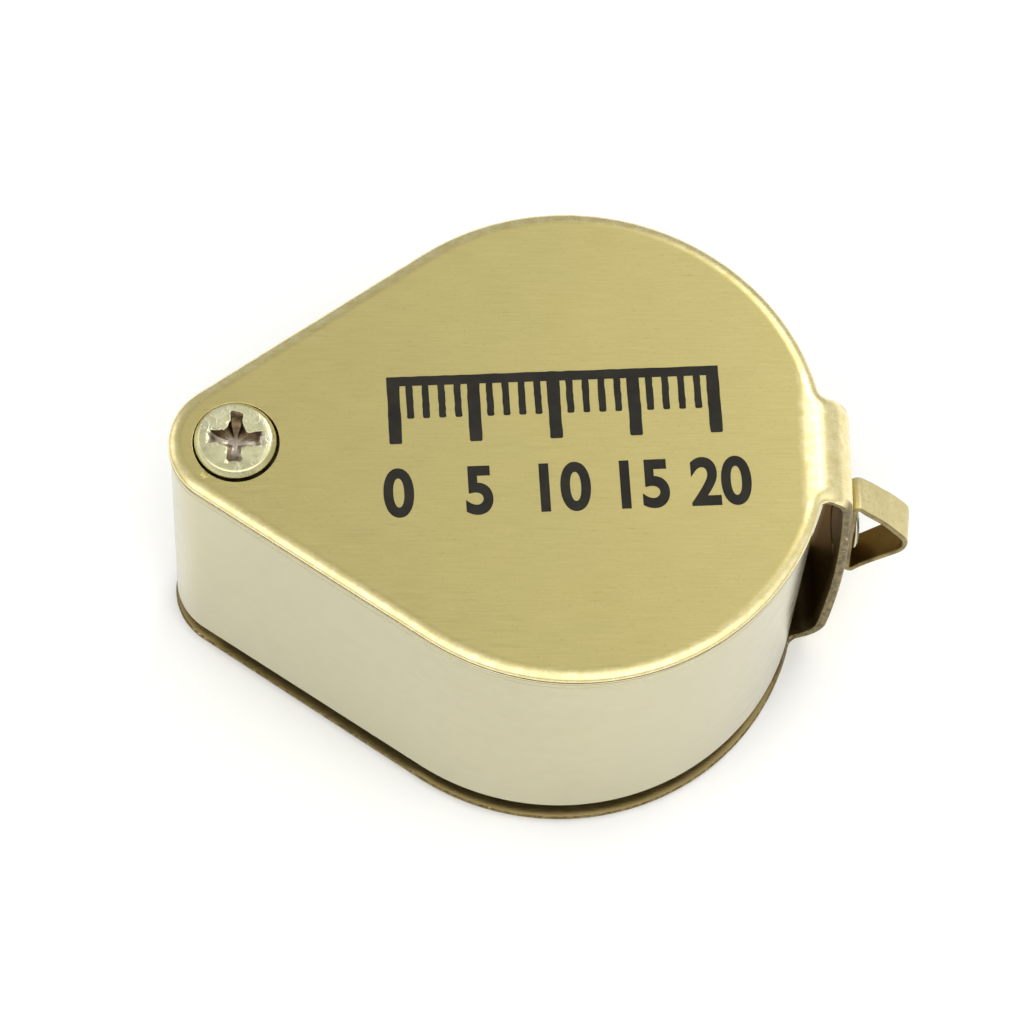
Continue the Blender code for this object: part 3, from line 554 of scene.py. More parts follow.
def corner_arc(corner, before, after, radius, steps, reach_limit=math.inf):
    """Points of the rounding of one corner; its reach is limited to a share of each side."""
    to_before, to_after = before - corner, after - corner
    limit = reach_limit * min(to_before.length, to_after.length)
    to_before.normalize()
    to_after.normalize()
    angle = to_before.angle(to_after)
    if angle > math.radians(176):             # all but straight
        return [tuple(corner)]
    reach = min(radius / math.tan(angle / 2), limit)
    radius = reach * math.tan(angle / 2)
    centre = corner + (to_before + to_after).normalized() * (radius / math.sin(angle / 2))
    first = corner + to_before * reach - centre
    last = corner + to_after * reach - centre
    sweep = first.angle(last)
    if first.x * last.y - first.y * last.x <= 0:
        sweep = -sweep
    points = []
    for k in range(steps + 1):
        cos, sin = math.cos(sweep * k / steps), math.sin(sweep * k / steps)
        points.append((centre.x + first.x * cos - first.y * sin,
                       centre.y + first.x * sin + first.y * cos))
    return points


def soften(profile, radius, steps=4):
    """Round the corners of a closed loop; a point may carry its own radius as a third value."""
    out = []
    for i, point in enumerate(profile):
        corner = Vector(point[:2])
        own_radius = point[2] if len(point) > 2 else radius
        if abs(corner.x) < 1e-9 or own_radius <= 0:
            out.append(tuple(corner))
            continue
        before, after = Vector(profile[i - 1][:2]), Vector(profile[(i + 1) % len(profile)][:2])
        out += corner_arc(corner, before, after, own_radius, steps, reach_limit=0.45)
    return out


def flat_ring(inner, outer, low, high, radius, steps=4):
    """Profile of a flat ring with softened corners."""
    return soften([(inner, low), (outer, low), (outer, high), (inner, high)], radius, steps)


def lathe(profile, centre=(0.0, 0.0), segments=144, axis="Z", band=None):
    """Solid of revolution from a closed loop of (radius, height).

    The axis is parallel to Z, with `centre` in X and Y, or to X, with `centre` in Y and Z.
    band(r0, h0, r1, h1) gives the material of the strip between two points.
    """
    bm = bmesh.new()
    rings = []
    for radius, height in profile:
        ring = []
        for i in range(1 if abs(radius) < 1e-9 else segments):
            angle = 2 * math.pi * i / segments
            across = (centre[0] + radius * math.cos(angle), centre[1] + radius * math.sin(angle))
            ring.append(bm.verts.new((*across, height) if axis == "Z" else (height, *across)))
        rings.append(ring)
    for k, a in enumerate(rings):
        after = (k + 1) % len(rings)
        b = rings[after]
        if len(a) == 1 and len(b) == 1:
            continue
        mat = band(*profile[k], *profile[after]) if band else 0
        for i in range(segments):
            j = (i + 1) % segments
            if len(a) == 1:
                face = bm.faces.new((a[0], b[i], b[j]))
            elif len(b) == 1:
                face = bm.faces.new((a[i], b[0], a[j]))
            else:
                face = bm.faces.new((a[i], b[i], b[j], a[j]))
            face.material_index = mat
    return bm


def skin(bm, a, b, mat=0):
    """Strip of quads between two closed rings of equal count."""
    for i in range(len(a)):
        j = (i + 1) % len(a)
        bm.faces.new((a[i], a[j], b[j], b[i])).material_index = mat


def arc_points(centre_x, radius, start, sweep, steps):
    """Arc about a point on the X axis, as (x, y, normal x, normal y)."""
    points = []
    for i in range(steps + 1):
        angle = start + sweep * i / steps
        cos, sin = math.cos(angle), math.sin(angle)
        points.append((centre_x + radius * cos, radius * sin, cos, sin))
    return points


def between(a, b, steps):
    """Points that divide a straight side, without its ends."""
    return [tuple(p + (q - p) * i / steps for p, q in zip(a, b)) for i in range(1, steps)]


# ------------------------------------------------------------------ cover
# The sheet's middle line runs along s: upper plate, gentle curve, upper bend, slightly bowed
# spine, lower bend, lower plate.
SPINE_TOP_W, SPINE_LOW_W, SPINE_FAR_W = 3.58, 2.82, 3.50     # half widths
FILLET = 0.65                                 # where the spine meets the round plates
BEND_START = 15.32
UPPER_OUTER_R, LOWER_OUTER_R = 2.38, 3.35
SPLAY = 0.021                                 # slope of the lower plate
LOW_END_Z = 0.002                             # underside where the lower plate meets its bend
SOFT_START, SOFT_TURN, SOFT_R = 14.35, 0.10, 9.0
UPPER_TURN, LOWER_TURN = math.radians(84.7), math.radians(87.6)
WHOLE_TURN = math.pi + math.atan(SPLAY)
SPINE_TURN = WHOLE_TURN - UPPER_TURN - LOWER_TURN
UPPER_R = (
    BEND_START - SOFT_START + (UPPER_OUTER_R - HALF) * math.sin(UPPER_TURN)
    - SOFT_R * math.sin(SOFT_TURN)
) / (math.sin(UPPER_TURN) - math.sin(SOFT_TURN))
LOWER_R = LOWER_OUTER_R - HALF
SPINE_R = (                                   # the radius that brings the sheet to its full height
    COVER_H - SHEET - LOW_END_Z - SOFT_R * (1 - math.cos(SOFT_TURN))
    - UPPER_R * (math.cos(SOFT_TURN) - math.cos(UPPER_TURN))
    - LOWER_R * (math.cos(UPPER_TURN + SPINE_TURN) - math.cos(WHOLE_TURN))
) / (math.cos(UPPER_TURN) - math.cos(UPPER_TURN + SPINE_TURN))
UPPER_START = SOFT_START + SOFT_R * SOFT_TURN
SPINE_START = UPPER_START + UPPER_R * (UPPER_TURN - SOFT_TURN)
LOWER_START = SPINE_START + SPINE_R * SPINE_TURN
BEND_END = LOWER_START + LOWER_R * LOWER_TURN
BENDS = (                                     # start, end, radius
    (SOFT_START, UPPER_START, SOFT_R), (UPPER_START, SPINE_START, UPPER_R),
    (SPINE_START, LOWER_START, SPINE_R), (LOWER_START, BEND_END, LOWER_R))


def sheet_middle(s):
    """x, z and turn of the middle line at distance s."""
    x, z, turned_by = min(s, SOFT_START), COVER_H - HALF, 0.0
    for start, end, radius in BENDS:
        if s > start:
            now = turned_by + (min(s, end) - start) / radius
            x += radius * (math.sin(now) - math.sin(turned_by))
            z += radius * (math.cos(now) - math.cos(turned_by))
            turned_by = now
    if s > BEND_END:
        x += (s - BEND_END) * math.cos(turned_by)
        z -= (s - BEND_END) * math.sin(turned_by)
    return x, z, turned_by


def fold(s, y, offset):
    """Place on the folded sheet of a point of the flat one."""
    x, z, turned_by = sheet_middle(s)
    return x + offset * math.sin(turned_by), y, z + offset * math.cos(turned_by)


LOW_X = sheet_middle(BEND_END)[0]
SHEET_END = BEND_END + LOW_X / math.cos(math.atan(SPLAY))     # lens axis on the lower plate
SPINE_X = sheet_middle(SPINE_START + SPINE_R * (math.pi / 2 - UPPER_TURN))[0] + HALF
PIVOT_LOW_Z = LOW_END_Z + SPLAY * (LOW_X + PIVOT_D)           # lower plate at the pivot


def plate_side(half_width):
    """One side of a plate: fillet at the spine, then the round end."""
    steps = 12
    centre_y = half_width + FILLET
    centre_x = math.sqrt((COVER_R + FILLET) ** 2 - centre_y ** 2)
    meet = math.atan2(centre_y, centre_x)
    points = []
    for i in range(steps):
        angle = -math.pi / 2 + (meet - math.pi / 2) * (i / steps)
        cos, sin = math.cos(angle), math.sin(angle)
        points.append((centre_x + FILLET * cos, centre_y + FILLET * sin, -cos, -sin))
    return points + arc_points(0.0, COVER_R, meet, SIDE_ANGLE - meet, 110)


def plate_outline(plus_width, minus_width):
    """Plate from the spine at +Y round the tip to the spine at -Y."""
    there = plate_side(plus_width)
    tip = arc_points(-PIVOT_D, TIP_R, SIDE_ANGLE, 2 * TIP_LEAN, 64)
    back = [(x, -y, nx, -ny) for x, y, nx, ny in reversed(plate_side(minus_width))]
    return there + between(there[-1], tip[0], 12) + tip + between(tip[-1], back[0], 12) + back


# material slots of the cover; ROLLED marks faces until they are shared out
FACE, SHEARED, INSIDE, ROLLED = 0, 2, 3, 4
ROLL_W, ROLL_H = 0.90, 0.40                   # rounding of the outer edge
BREAK = 0.08                                  # chamfer of the inner edge


def cover_levels():
    """Edge of the sheet from inner to outer face: inset, offset, material above, wear; the wear
    also sets the paler burnished colour that partly paints highlights.
    """
    levels = [
        (1.1, -HALF, INSIDE, 0.0), (0.55, -HALF, INSIDE, 0.55), (BREAK, -HALF, SHEARED, 1.0),
        (BREAK * 0.3, -HALF + BREAK * 0.3, SHEARED, 1.0), (0.0, -HALF + BREAK, SHEARED, 0.0),
        (0.0, HALF - ROLL_H - 0.03, ROLLED, 1.0), (0.006, HALF - ROLL_H, ROLLED, 1.0)]
    steps = 14
    for k in range(1, steps + 1):
        angle = math.pi / 2 * k / steps
        levels.append((0.006 + ROLL_W * (1 - math.cos(angle)),
                       HALF - ROLL_H + ROLL_H * math.sin(angle), ROLLED,
                       1.0 - (k / steps) ** 1.6))
    return levels


def flat_cover():
    """The unfolded sheet: x is the distance s, z the offset from the middle."""
    outline = plate_outline(SPINE_TOP_W + SPINE_Y, SPINE_TOP_W - SPINE_Y)
    outline += [(SHEET_END - x, -y, -nx, -ny) for x, y, nx, ny in
                plate_outline(SPINE_LOW_W - SPINE_Y, SPINE_FAR_W + SPINE_Y)]
    levels = cover_levels()
    bm = bmesh.new()
    edge = bm.verts.layers.float.new("edge")
    bm.verts.layers.float.new("bare_and_shade")
    edge = bm.verts.layers.float["edge"]
    rings = []
    for inset, z, _, worn in levels:
        rolled = z > HALF - ROLL_H - 0.05
        ring = []
        for x, y, nx, ny in outline:
            slim = 1.0                        # the rolled edge shrinks along the spine
            if rolled:
                slim -= 0.80 * ease(clamp((x - 16.3) / 1.6) * clamp((BEND_END + 0.8 - x) / 1.1))
            vert = bm.verts.new((x - nx * inset * slim, y - ny * inset * slim,
                                 HALF - (HALF - z) * slim if rolled else z))
            vert[edge] = worn
            ring.append(vert)
        rings.append(ring)
    for k in range(len(rings) - 1):
        skin(bm, rings[k], rings[k + 1], levels[k][2])
    bm.faces.new(list(reversed(rings[0]))).material_index = INSIDE
    bm.faces.new(rings[-1]).material_index = FACE
    return bm


def divide_bends(bm):
    """Cut the flat sheet across, so that it can be folded."""
    for (start, end, _), parts, picks in zip(
            BENDS, (8, 26, 22, 26), (range(8), range(27), range(1, 22), range(27))):
        for i in picks:
            bmesh.ops.bisect_plane(bm, geom=bm.verts[:] + bm.edges[:] + bm.faces[:], dist=1e-6,
                                   plane_co=(start + (end - start) * i / parts, 0, 0),
                                   plane_no=(1, 0, 0))


def mark_wear(bm):
    """Share out the rolled faces, and mark burnished metal ("edge"), partly a painted highlight,
    and sheared metal, partly painted shade.
    """
    for face in bm.faces:                     # the sides of the spine are plain sheared sheet
        if face.material_index == ROLLED:
            on_spine = 15.95 < face.calc_center_median().x < BEND_END + 0.6
            face.material_index = SHEARED if on_spine else FACE
    edge, bare_and_shade = bm.verts.layers.float["edge"], bm.verts.layers.float["bare_and_shade"]
    for vert in bm.verts:
        s, _, z = vert.co
        if z > 0:                             # the upper bend is burnished like the rim, its paler colour painting the highlight along the bend
            burnish_and_highlight = 0.9 * clamp((s - SOFT_START + 0.4) / 1.2) * clamp((LOWER_START - s) / 8.0)
            vert[edge] = max(vert[edge], burnish_and_highlight)
        if z < 0:                             # the inner half of the cut side, toward the housing, is painted dark as shade; the rolled outer corner stays bright
            vert[bare_and_shade] = 1.0
        elif z < HALF - 0.05:
            vert[bare_and_shade] = clamp((s - 16.9) / 1.2)


def cover_mesh():
    bm = flat_cover()
    divide_bends(bm)
    mark_wear(bm)
    uv = bm.loops.layers.uv.new("sheet")
    for face in bm.faces:
        for loop in face.loops:
            loop[uv].uv = (loop.vert.co.x, loop.vert.co.y + 40)
    for vert in bm.verts:
        vert.co = Vector(fold(*vert.co))
    return bm


def build_cover():
    cover = make_piece("cover_sheet", cover_mesh(), "cover", "cover",
                       [FACE_GOLD, EDGE_GOLD, SHEARED_GOLD, INSIDE_GOLD])
    upper = [                                 # radius, height above the outer face
        (0, 1), (2.74, 1), (2.74, 0.01), (2.71, -0.03), (2.68, -0.06), (2.665, -0.10),
        (2.665, -0.44), (1.58, -0.64), (1.58, -2), (0, -2)]
    lower = [                                 # radius, height above the underside
        (0, -1), (2.55, -1), (2.55, 0.14), (1.97, 0.58), (1.97, 2), (0, 2)]
    rivet = [                                 # radius, distance out from the spine's outer face
        (0, -3), (1.33, -3), (1.33, -SHEET), (0.83, -SHEET + 0.38), (0.83, 1), (0, 1)]
    # the side of the upper hole takes the painted shade of HOLE_SIDE; its thin top edge is the
    # paler edge gold
    upper_bm = lathe([(r, COVER_H + h) for r, h in upper], (PIVOT[0] + 0.04, PIVOT[1] - 0.07),
                     band=lambda r0, h0, r1, h1: 1 if min(h0, h1) > COVER_H - 0.105 else 0)
    lower_bm = lathe([(r, PIVOT_LOW_Z + h) for r, h in lower], PIVOT, 96)
    rivet_bm = lathe([(r, SPINE_X + h) for r, h in rivet], (SPINE_Y, RIVET_Z), 64, axis="X")
    cut(cover,
        make_piece("upper_countersink", upper_bm, mats=[HOLE_SIDE, EDGE_GOLD]),
        make_piece("lower_countersink", lower_bm, mats=[EDGE_GOLD]),
        make_piece("rivet_hole", rivet_bm, mats=[INSIDE_GOLD]))


build_cover()


# ------------------------------------------------------------------ housing
def housing_outline():
    big = arc_points(0.0, COVER_R - INSET, -SIDE_ANGLE, 2 * SIDE_ANGLE, 240)
    tip = arc_points(-PIVOT_D, TIP_R - INSET, SIDE_ANGLE, 2 * TIP_LEAN, 64)
    return big + between(big[-1], tip[0], 14) + tip + between(tip[-1], big[0], 14)


def housing_part(name, node, levels, prefix, cut_low, cut_high):
    """Solid through (inset, height) levels of the outline, with the lens and pivot holes."""
    outline = housing_outline()
    bm = bmesh.new()
    bm.verts.layers.float.new("edge")         # zero throughout
    rings = [[bm.verts.new((x - nx * inset, y - ny * inset, z)) for x, y, nx, ny in outline]
             for inset, z in levels]
    for a, b in zip(rings, rings[1:]):
        skin(bm, a, b)
    bm.faces.new(list(reversed(rings[0])))
    bm.faces.new(rings[-1])
    part = make_piece(name, bm, "housing", node, [NICKEL])
    cut(part,
        hole(prefix + "_aperture", APERTURE_R, cut_low, cut_high, NICKEL, segments=160),
        hole(prefix + "_pivot_hole", PIVOT_HOLE_R, cut_low, cut_high, NICKEL,
             centre=PIVOT, segments=96))


FOOT_ROUND = 0.45
foot_angles = [math.pi / 2 * k / 10 for k in range(11)]
housing_part("housing_tub_shell", "housing_tub", [
    *[(FOOT_ROUND * (1 - math.sin(a)), TUB_Z0 + FOOT_ROUND * (1 - math.cos(a)))
      for a in foot_angles],
    (0.0, TUB_Z0 + 6), (0.0, TUB_Z0 + 12), (0.0, TUB_Z1 - 0.07), (0.02, TUB_Z1 - 0.02),
    (0.07, TUB_Z1), (WALL - 0.05, TUB_Z1), (WALL, TUB_Z1 - 0.05),
    (WALL, TUB_Z0 + WALL + 0.3), (WALL + 0.3, TUB_Z0 + WALL),
], "tub", TUB_Z0 - 1, TUB_Z0 + 2)

LIP_INSET = WALL + FIT
housing_part("housing_lid_plate", "housing_lid", [
    (LIP_INSET + 0.1, LID_Z0 - LID_LIP), (LIP_INSET, LID_Z0 - 0.45), (LIP_INSET, LID_Z0),
    (0.05, LID_Z0), (0.0, LID_Z0 + 0.05), (0.0, LID_Z1 - 0.16), (0.012, LID_Z1 - 0.10),
    (0.045, LID_Z1 - 0.045), (0.10, LID_Z1 - 0.012), (0.16, LID_Z1),
], "lid", LID_Z0 - 2, LID_Z1 + 1)

# ------------------------------------------------------------------ lens group
GLASS_R, LENS_Z = 10.5, 13.15
CROWN_RAD, OUTER_RAD = 13.0, 18.0             # curvature of the middle and the outer faces
LENS_GAP, OUTER_THICK = 0.05, 1.80
SEAT_R, BORE_R = 9.60, 10.56


def sag(curvature, radius):
    return curvature - math.sqrt(curvature * curvature - radius * radius)


# distances from the middle of the group
CROWN_HALF = 0.5 + sag(CROWN_RAD, GLASS_R)
OUTER_APEX = CROWN_HALF + LENS_GAP + OUTER_THICK
RIM = OUTER_APEX - sag(OUTER_RAD, GLASS_R)
SEAT = OUTER_APEX - sag(OUTER_RAD, SEAT_R)
SEAT_Z = LENS_Z - SEAT - 0.10
RING_Z = heights("lens_retaining_ring")[0]


def lens_face(curvature, apex, side):
    """Half section of a lens face that bulges up (side 1) or down (side -1)."""
    radii = [GLASS_R * i / 28 for i in range(29)]
    return [(r, apex - side * sag(curvature, r)) for r in radii]


def build_lens(name, node, first, second):
    make_piece(name, lathe(first + list(reversed(second)), segments=160), "housing", node,
               [GLASS], weighted=False, angle=25)


build_lens("lens_middle", "middle_lens", lens_face(CROWN_RAD, LENS_Z + CROWN_HALF, 1),
           lens_face(CROWN_RAD, LENS_Z - CROWN_HALF, -1))
for side, name, node in ((1, "lens_eye", "eye_lens"), (-1, "lens_object", "object_lens")):
    inner = LENS_Z + side * (CROWN_HALF + LENS_GAP)
    build_lens(name, node, lens_face(OUTER_RAD, inner + side * OUTER_THICK, side),
               lens_face(CROWN_RAD, inner, side))


def barrel_profile():
    low, high = heights("lens_barrel")
    tube_r, flange_r = 11.38, 12.10
    points = [
        (tube_r, low + 0.08), (tube_r, FLOOR_Z), (flange_r, FLOOR_Z), (flange_r, FLANGE_TOP),
        (tube_r, FLANGE_TOP), (tube_r, high - 0.2), (11.20, high), (10.78, high)]
    z = high - 0.22
    while z > RING_Z - 0.2:                   # thread for the retaining ring
        points += [(10.58, z), (10.72, z - 0.12), (10.58, z - 0.24)]
        z -= 0.34
    points += [(BORE_R, RING_Z - 0.6), (BORE_R, LENS_Z - RIM - 0.10),
               (SEAT_R, SEAT_Z), (SEAT_R, SEAT_Z - 0.6)]
    z = SEAT_Z - 0.75
    while z > low + 0.45:                     # stepped baffle below the glass
        depth = (SEAT_Z - z) / (SEAT_Z - low)
        radius = SEAT_R + (BORE_R - SEAT_R) * min(1.0, depth * 1.15)
        points += [(radius, z), (radius + 0.10, z - 0.16)]
        z -= 0.30
    return points + [(10.62, low + 0.3), (10.80, low), (11.30, low)]


def build_barrel():
    bm = lathe(barrel_profile(), segments=160,
               band=lambda r0, h0, r1, h1: 1 if min(r0, r1) < 10.75 else 0)
    make_piece("barrel_tube", bm, "housing", "lens_barrel", [BLACK, BAFFLE],
               weighted=False, angle=30)


def build_gasket():
    low, high = heights("lens_gasket")
    outer = GLASS_R - 0.04
    profile = soften([(SEAT_R, LENS_Z + SEAT + 0.05), (outer, low), (outer, high),
                      (SEAT_R, high)], 0.06)
    make_piece("lens_soft_ring", lathe(profile), "housing", "lens_gasket", [NYLON],
               weighted=False, angle=35)


def build_retaining_ring():
    profile = soften([
        (9.35, RING_Z + 0.25), (9.6, RING_Z), (10.48, RING_Z), (10.48, RING_Z + 1.5),
        (9.9, RING_Z + 1.5), (9.35, RING_Z + 0.95)], 0.05)
    ring = make_piece("retaining_ring", lathe(profile, segments=160), "housing",
                      "lens_retaining_ring", [BLACK])
    cut(ring, box_cutter("spanner_slots", (0, 0, RING_Z + 1.45), (24, 1.2, 1.1), BLACK))


def build_bezel(name, node, face_z, side):
    """Thin ring with a groove, standing off the housing's face on the given side."""
    base, top = face_z + side * 0.04, face_z + side * 0.20
    groove = top - side * 0.03
    profile = soften([                        # radius, height, own rounding
        (11.49, base), (12.45, base), (12.45, (base + top) / 2, 0.03), (12.36, top, 0.05),
        (12.02, top, 0.0), (11.98, groove, 0.0), (11.92, groove, 0.0), (11.88, top, 0.0),
        (11.49, top)], 0.03)
    make_piece(name, lathe(profile, segments=180), "housing", node, [BLACK],
               weighted=False, angle=35)


build_barrel()
build_gasket()
build_retaining_ring()
build_bezel("eye_bezel", "eye_trim_ring", LID_Z1, 1)
build_bezel("object_bezel", "object_trim_ring", TUB_Z0, -1)


# ------------------------------------------------------------------ pivot
def build_bush():
    low, high = heights("pivot_bush")
    bore_r, tube_r, flange_r = 1.96, 2.30, 2.65
    profile = soften([
        (bore_r, low), (tube_r, low), (tube_r, FLOOR_Z), (flange_r, FLOOR_Z),
        (flange_r, FLANGE_TOP), (tube_r, FLANGE_TOP), (tube_r, high), (bore_r, high)], 0.04)
    make_piece("pivot_bush_sleeve", lathe(profile, PIVOT, 96), "housing", "pivot_bush",
               [BRASS], weighted=False, angle=35)


def build_post():
    """Post with a countersunk slotted head below and a blind screw hole above."""
    low = heights("pivot_post")[0]
    top = COVER_H - SHEET - 0.06
    profile = soften([
        (0, low), (2.39, low), (2.45, low + 0.06), (1.88, low + 0.50), (1.90, low + 0.56),
        (1.90, top - 0.09), (1.80, top), (1.31, top), (1.31, COVER_H - 9.2),
        (0, COVER_H - 9.9)], 0.04)
    post = make_piece("pivot_post_turned", lathe(profile, PIVOT, 96), "cover", "pivot_post",
                      [BRASS])
    cut(post, box_cutter("post_slot", (-PIVOT_D, 0, low - 0.18), (8, 0.6, 1.0), BRASS))


def screw_profile(head_z):
    points = [(2.20 * k / 7, head_z - 0.022 * (k / 7) ** 2) for k in range(8)]   # domed top
    points += [
        (2.25, head_z - 0.034), (2.30, head_z - 0.062), (2.335, head_z - 0.10),
        (2.52, COVER_H + 0.12), (2.55, COVER_H + 0.07), (2.56, COVER_H + 0.02),
        (2.54, COVER_H - 0.06), (2.46, COVER_H - 0.12), (1.43, COVER_H - 0.60)]
    z = COVER_H - 0.70                        # rolled thread below the head
    points.append((1.20, z))
    while z > COVER_H - 8.2:
        points += [(1.25, z - 0.10), (1.25, z - 0.16), (1.08, z - 0.36), (1.08, z - 0.40)]
        z -= 0.45
    return points + [(0.8, COVER_H - 8.6), (0, COVER_H - 8.6)]


def recess_plan(wear):
    """Four-armed outline with a chewed rim."""
    plan = []
    for quarter, reach in enumerate((1.60, 1.64, 1.58, 1.54)):
        angle = math.pi / 2 * quarter + math.radians(-3)
        cos, sin = math.cos(angle), math.sin(angle)
        end = reach - 0.12
        arm = [(0.62, -0.50), (0.86, -0.44), (1.10, -0.42), (end, -0.42)]
        arm += [(end + 0.13 * math.cos(t), 0.42 * math.sin(t))
                for t in map(math.radians, (-55, -20, 20, 55))]
        arm += [(end, 0.42), (1.10, 0.42), (0.86, 0.44), (0.62, 0.50)]
        for x, y in arm:
            x += wear.uniform(-0.09, 0.09)
            y += wear.uniform(-0.10, 0.10)
            plan.append((x * cos - y * sin, x * sin + y * cos))
    return plan


def recess_mesh(head_z):
    """Tapered driver recess."""
    wear = random.Random(11)
    plan = recess_plan(wear)
    depth = 0.80
    bm = bmesh.new()
    rings = []
    for scale, z, jitter in (
            (1.16, head_z + 0.3, 0.0), (1.08, head_z, 0.0), (1.00, head_z - 0.07, 0.02),
            (0.92, head_z - depth * 0.35, 0.04), (0.70, head_z - depth * 0.72, 0.03)):
        rings.append([bm.verts.new((PIVOT[0] + x * scale + wear.uniform(-jitter, jitter),
                                    PIVOT[1] + y * scale + wear.uniform(-jitter, jitter), z))
                      for x, y in plan])
    rings.append([bm.verts.new((PIVOT[0] + x * 0.34, PIVOT[1] + y * 0.34, head_z - depth))
                  for x, y in plan])
    for a, b in zip(rings, rings[1:]):
        skin(bm, a, b)
    bm.faces.new(rings[0])
    bm.faces.new(list(reversed(rings[-1])))
    return bm


def build_screw():
    head_z = heights("pivot_screw")[1]
    screw = make_piece("pivot_screw_head", lathe(screw_profile(head_z), PIVOT, 128), "cover",
                       "pivot_screw", [ZINC, ZINC_RECESS])
    cut(screw, make_piece("driver_recess", recess_mesh(head_z), mats=[ZINC_RECESS]))


def build_nylon_washer(name, node, body, outer, rounding):
    profile = flat_ring(2.0, outer, *heights(node), rounding)
    make_piece(name, lathe(profile, PIVOT, 96), body, node, [NYLON],
               weighted=False, angle=35)


def build_wave_washer():
    """Spring washer with three waves."""
    low, high = heights("pivot_wave_washer")
    segments, thick, waves = 144, 0.12, 3
    middle, swing = (low + high) / 2, (high - low - thick) / 2
    bm = bmesh.new()
    rings = []
    for radius, rise in flat_ring(2.05, 3.2, -thick / 2, thick / 2, 0.03, steps=2):
        ring = []
        for i in range(segments):
            angle = 2 * math.pi * i / segments
            ring.append(bm.verts.new((
                PIVOT[0] + radius * math.cos(angle), radius * math.sin(angle),
                middle + rise + swing * math.cos(waves * angle + math.pi))))
        rings.append(ring)
    for k, ring in enumerate(rings):
        skin(bm, ring, rings[(k + 1) % len(rings)])
    make_piece("spring_washer", bm, "cover", "pivot_wave_washer", [STEEL],
               weighted=False, angle=35)


build_bush()
build_post()
build_screw()
build_nylon_washer("upper_washer", "pivot_flat_washer", "cover", outer=3.5, rounding=0.05)
build_nylon_washer("thrust_washer", "pivot_thrust_washer", "housing", outer=3.3, rounding=0.04)
build_wave_washer()

# ------------------------------------------------------------------ cord loop on the spine
LOOP_W, LOOP_T = 2.50, 0.38                   # width and thickness of the strip
LOOP_SKEW = 0.11                              # the bend is out of square
LOOP_TURN = math.radians(-10.8)               # turn on the rivet
LEG_X = SPINE_X + 0.18 + LOOP_T / 2           # middle of the riveted leg
LEG_FACE = LEG_X + LOOP_T / 2
LOOP_CORNERS = (                              # x, z, radius of the strip's middle line
    (LEG_X, 9.20, 0.30), (LEG_X, 16.55, 0.26), (20.95, 14.55, 4.6), (22.78, 12.52, 1.15))


def loop_path():
    """Closed middle line in X and Z, with long straights divided."""
    points = [Vector(corner[:2]) for corner in LOOP_CORNERS]
    rounded = []
    for i, (_, _, radius) in enumerate(LOOP_CORNERS):
        arc = corner_arc(points[i], points[i - 1], points[(i + 1) % len(points)], radius, 14)
        rounded += [Vector(point) for point in arc]
    path = []
    for i, a in enumerate(rounded):
        b = rounded[(i + 1) % len(rounded)]
        parts = max(1, int((b - a).length / 0.30))
        path += [a + (b - a) * (k / parts) for k in range(parts)]
    return path


def loop_point(x, y, z):
    """Skew the loop, spread its -Y side away from the spine, and turn it on the rivet."""
    free = clamp((x - LEG_FACE) / 0.7)
    z -= RIVET_Z
    if y < 0:
        y *= 1 + 0.16 * ease(clamp((x - LEG_X - 1.0) / 3.2))
    cos, sin = math.cos(LOOP_TURN), math.sin(LOOP_TURN)
    return x + LOOP_SKEW * free * y, SPINE_Y + y * cos - z * sin, RIVET_Z + y * sin + z * cos


def loop_mesh():
    path = loop_path()
    section = soften([(-LOOP_T / 2, -LOOP_W / 2), (-LOOP_T / 2, LOOP_W / 2),
                      (LOOP_T / 2, LOOP_W / 2), (LOOP_T / 2, -LOOP_W / 2)], 0.13)
    wear = random.Random(3)
    waves = [(wear.uniform(0.4, 1.6), wear.uniform(0, 6.3), wear.uniform(0.004, 0.012))
             for _ in range(6)]               # frequency, phase, height of the edge's waviness
    bm = bmesh.new()
    rings = []
    length = 0.0
    for i, point in enumerate(path):
        before = (point - path[i - 1]).normalized()
        after = (path[(i + 1) % len(path)] - point).normalized()
        if i:
            length += (point - path[i - 1]).length
        tangent = (before + after).normalized()
        normal = Vector((tangent.y, -tangent.x))
        stretch = 1 / max(0.5, normal.dot(Vector((after.y, -after.x))))      # mitre
        swell = sum(high * math.sin(rate * length + phase) for rate, phase, high in waves)
        ring = []
        for offset, y in section:
            place = point + normal * (offset * stretch)
            ring.append(bm.verts.new(loop_point(place.x, y + math.copysign(swell, y), place.y)))
        rings.append(ring)
    flat = LOOP_T * 0.45
    for k, a in enumerate(rings):
        b = rings[(k + 1) % len(rings)]
        for i in range(len(section)):
            j = (i + 1) % len(section)
            face = bm.faces.new((a[i], a[j], b[j], b[i]))
            if max(section[i][0], section[j][0]) < -flat:
                face.material_index = 0       # outside
            elif min(section[i][0], section[j][0]) > flat:
                face.material_index = 1       # inside, painted shade
            else:
                face.material_index = 2       # cut edges
    return bm


def build_loop():
    loop = make_piece("cord_loop", loop_mesh(), "loop", "bail",
                      [LOOP_OUTSIDE, LOOP_INSIDE, LOOP_CUT])
    cut(loop, hole("loop_hole", 0.86, SPINE_X - 0.5, SPINE_X + 1.9, LOOP_CUT,
                   centre=(SPINE_Y, RIVET_Z), segments=64, axis="X"))


def rivet_part(name, node, profile, mats, angle, band=None):
    bm = lathe(profile, (SPINE_Y, RIVET_Z), 96, axis="X", band=band)
    make_piece(name, bm, "cover", node, mats, weighted=False, angle=angle)


build_loop()
rivet_part("rivet_washer", "bail_rivet_washer",
           flat_ring(0.85, 1.45, SPINE_X + 0.03, SPINE_X + 0.15, 0.03), [BRASS], angle=35)
FLUSH = SPINE_X - SHEET + 0.03                # countersunk end, inside the spine
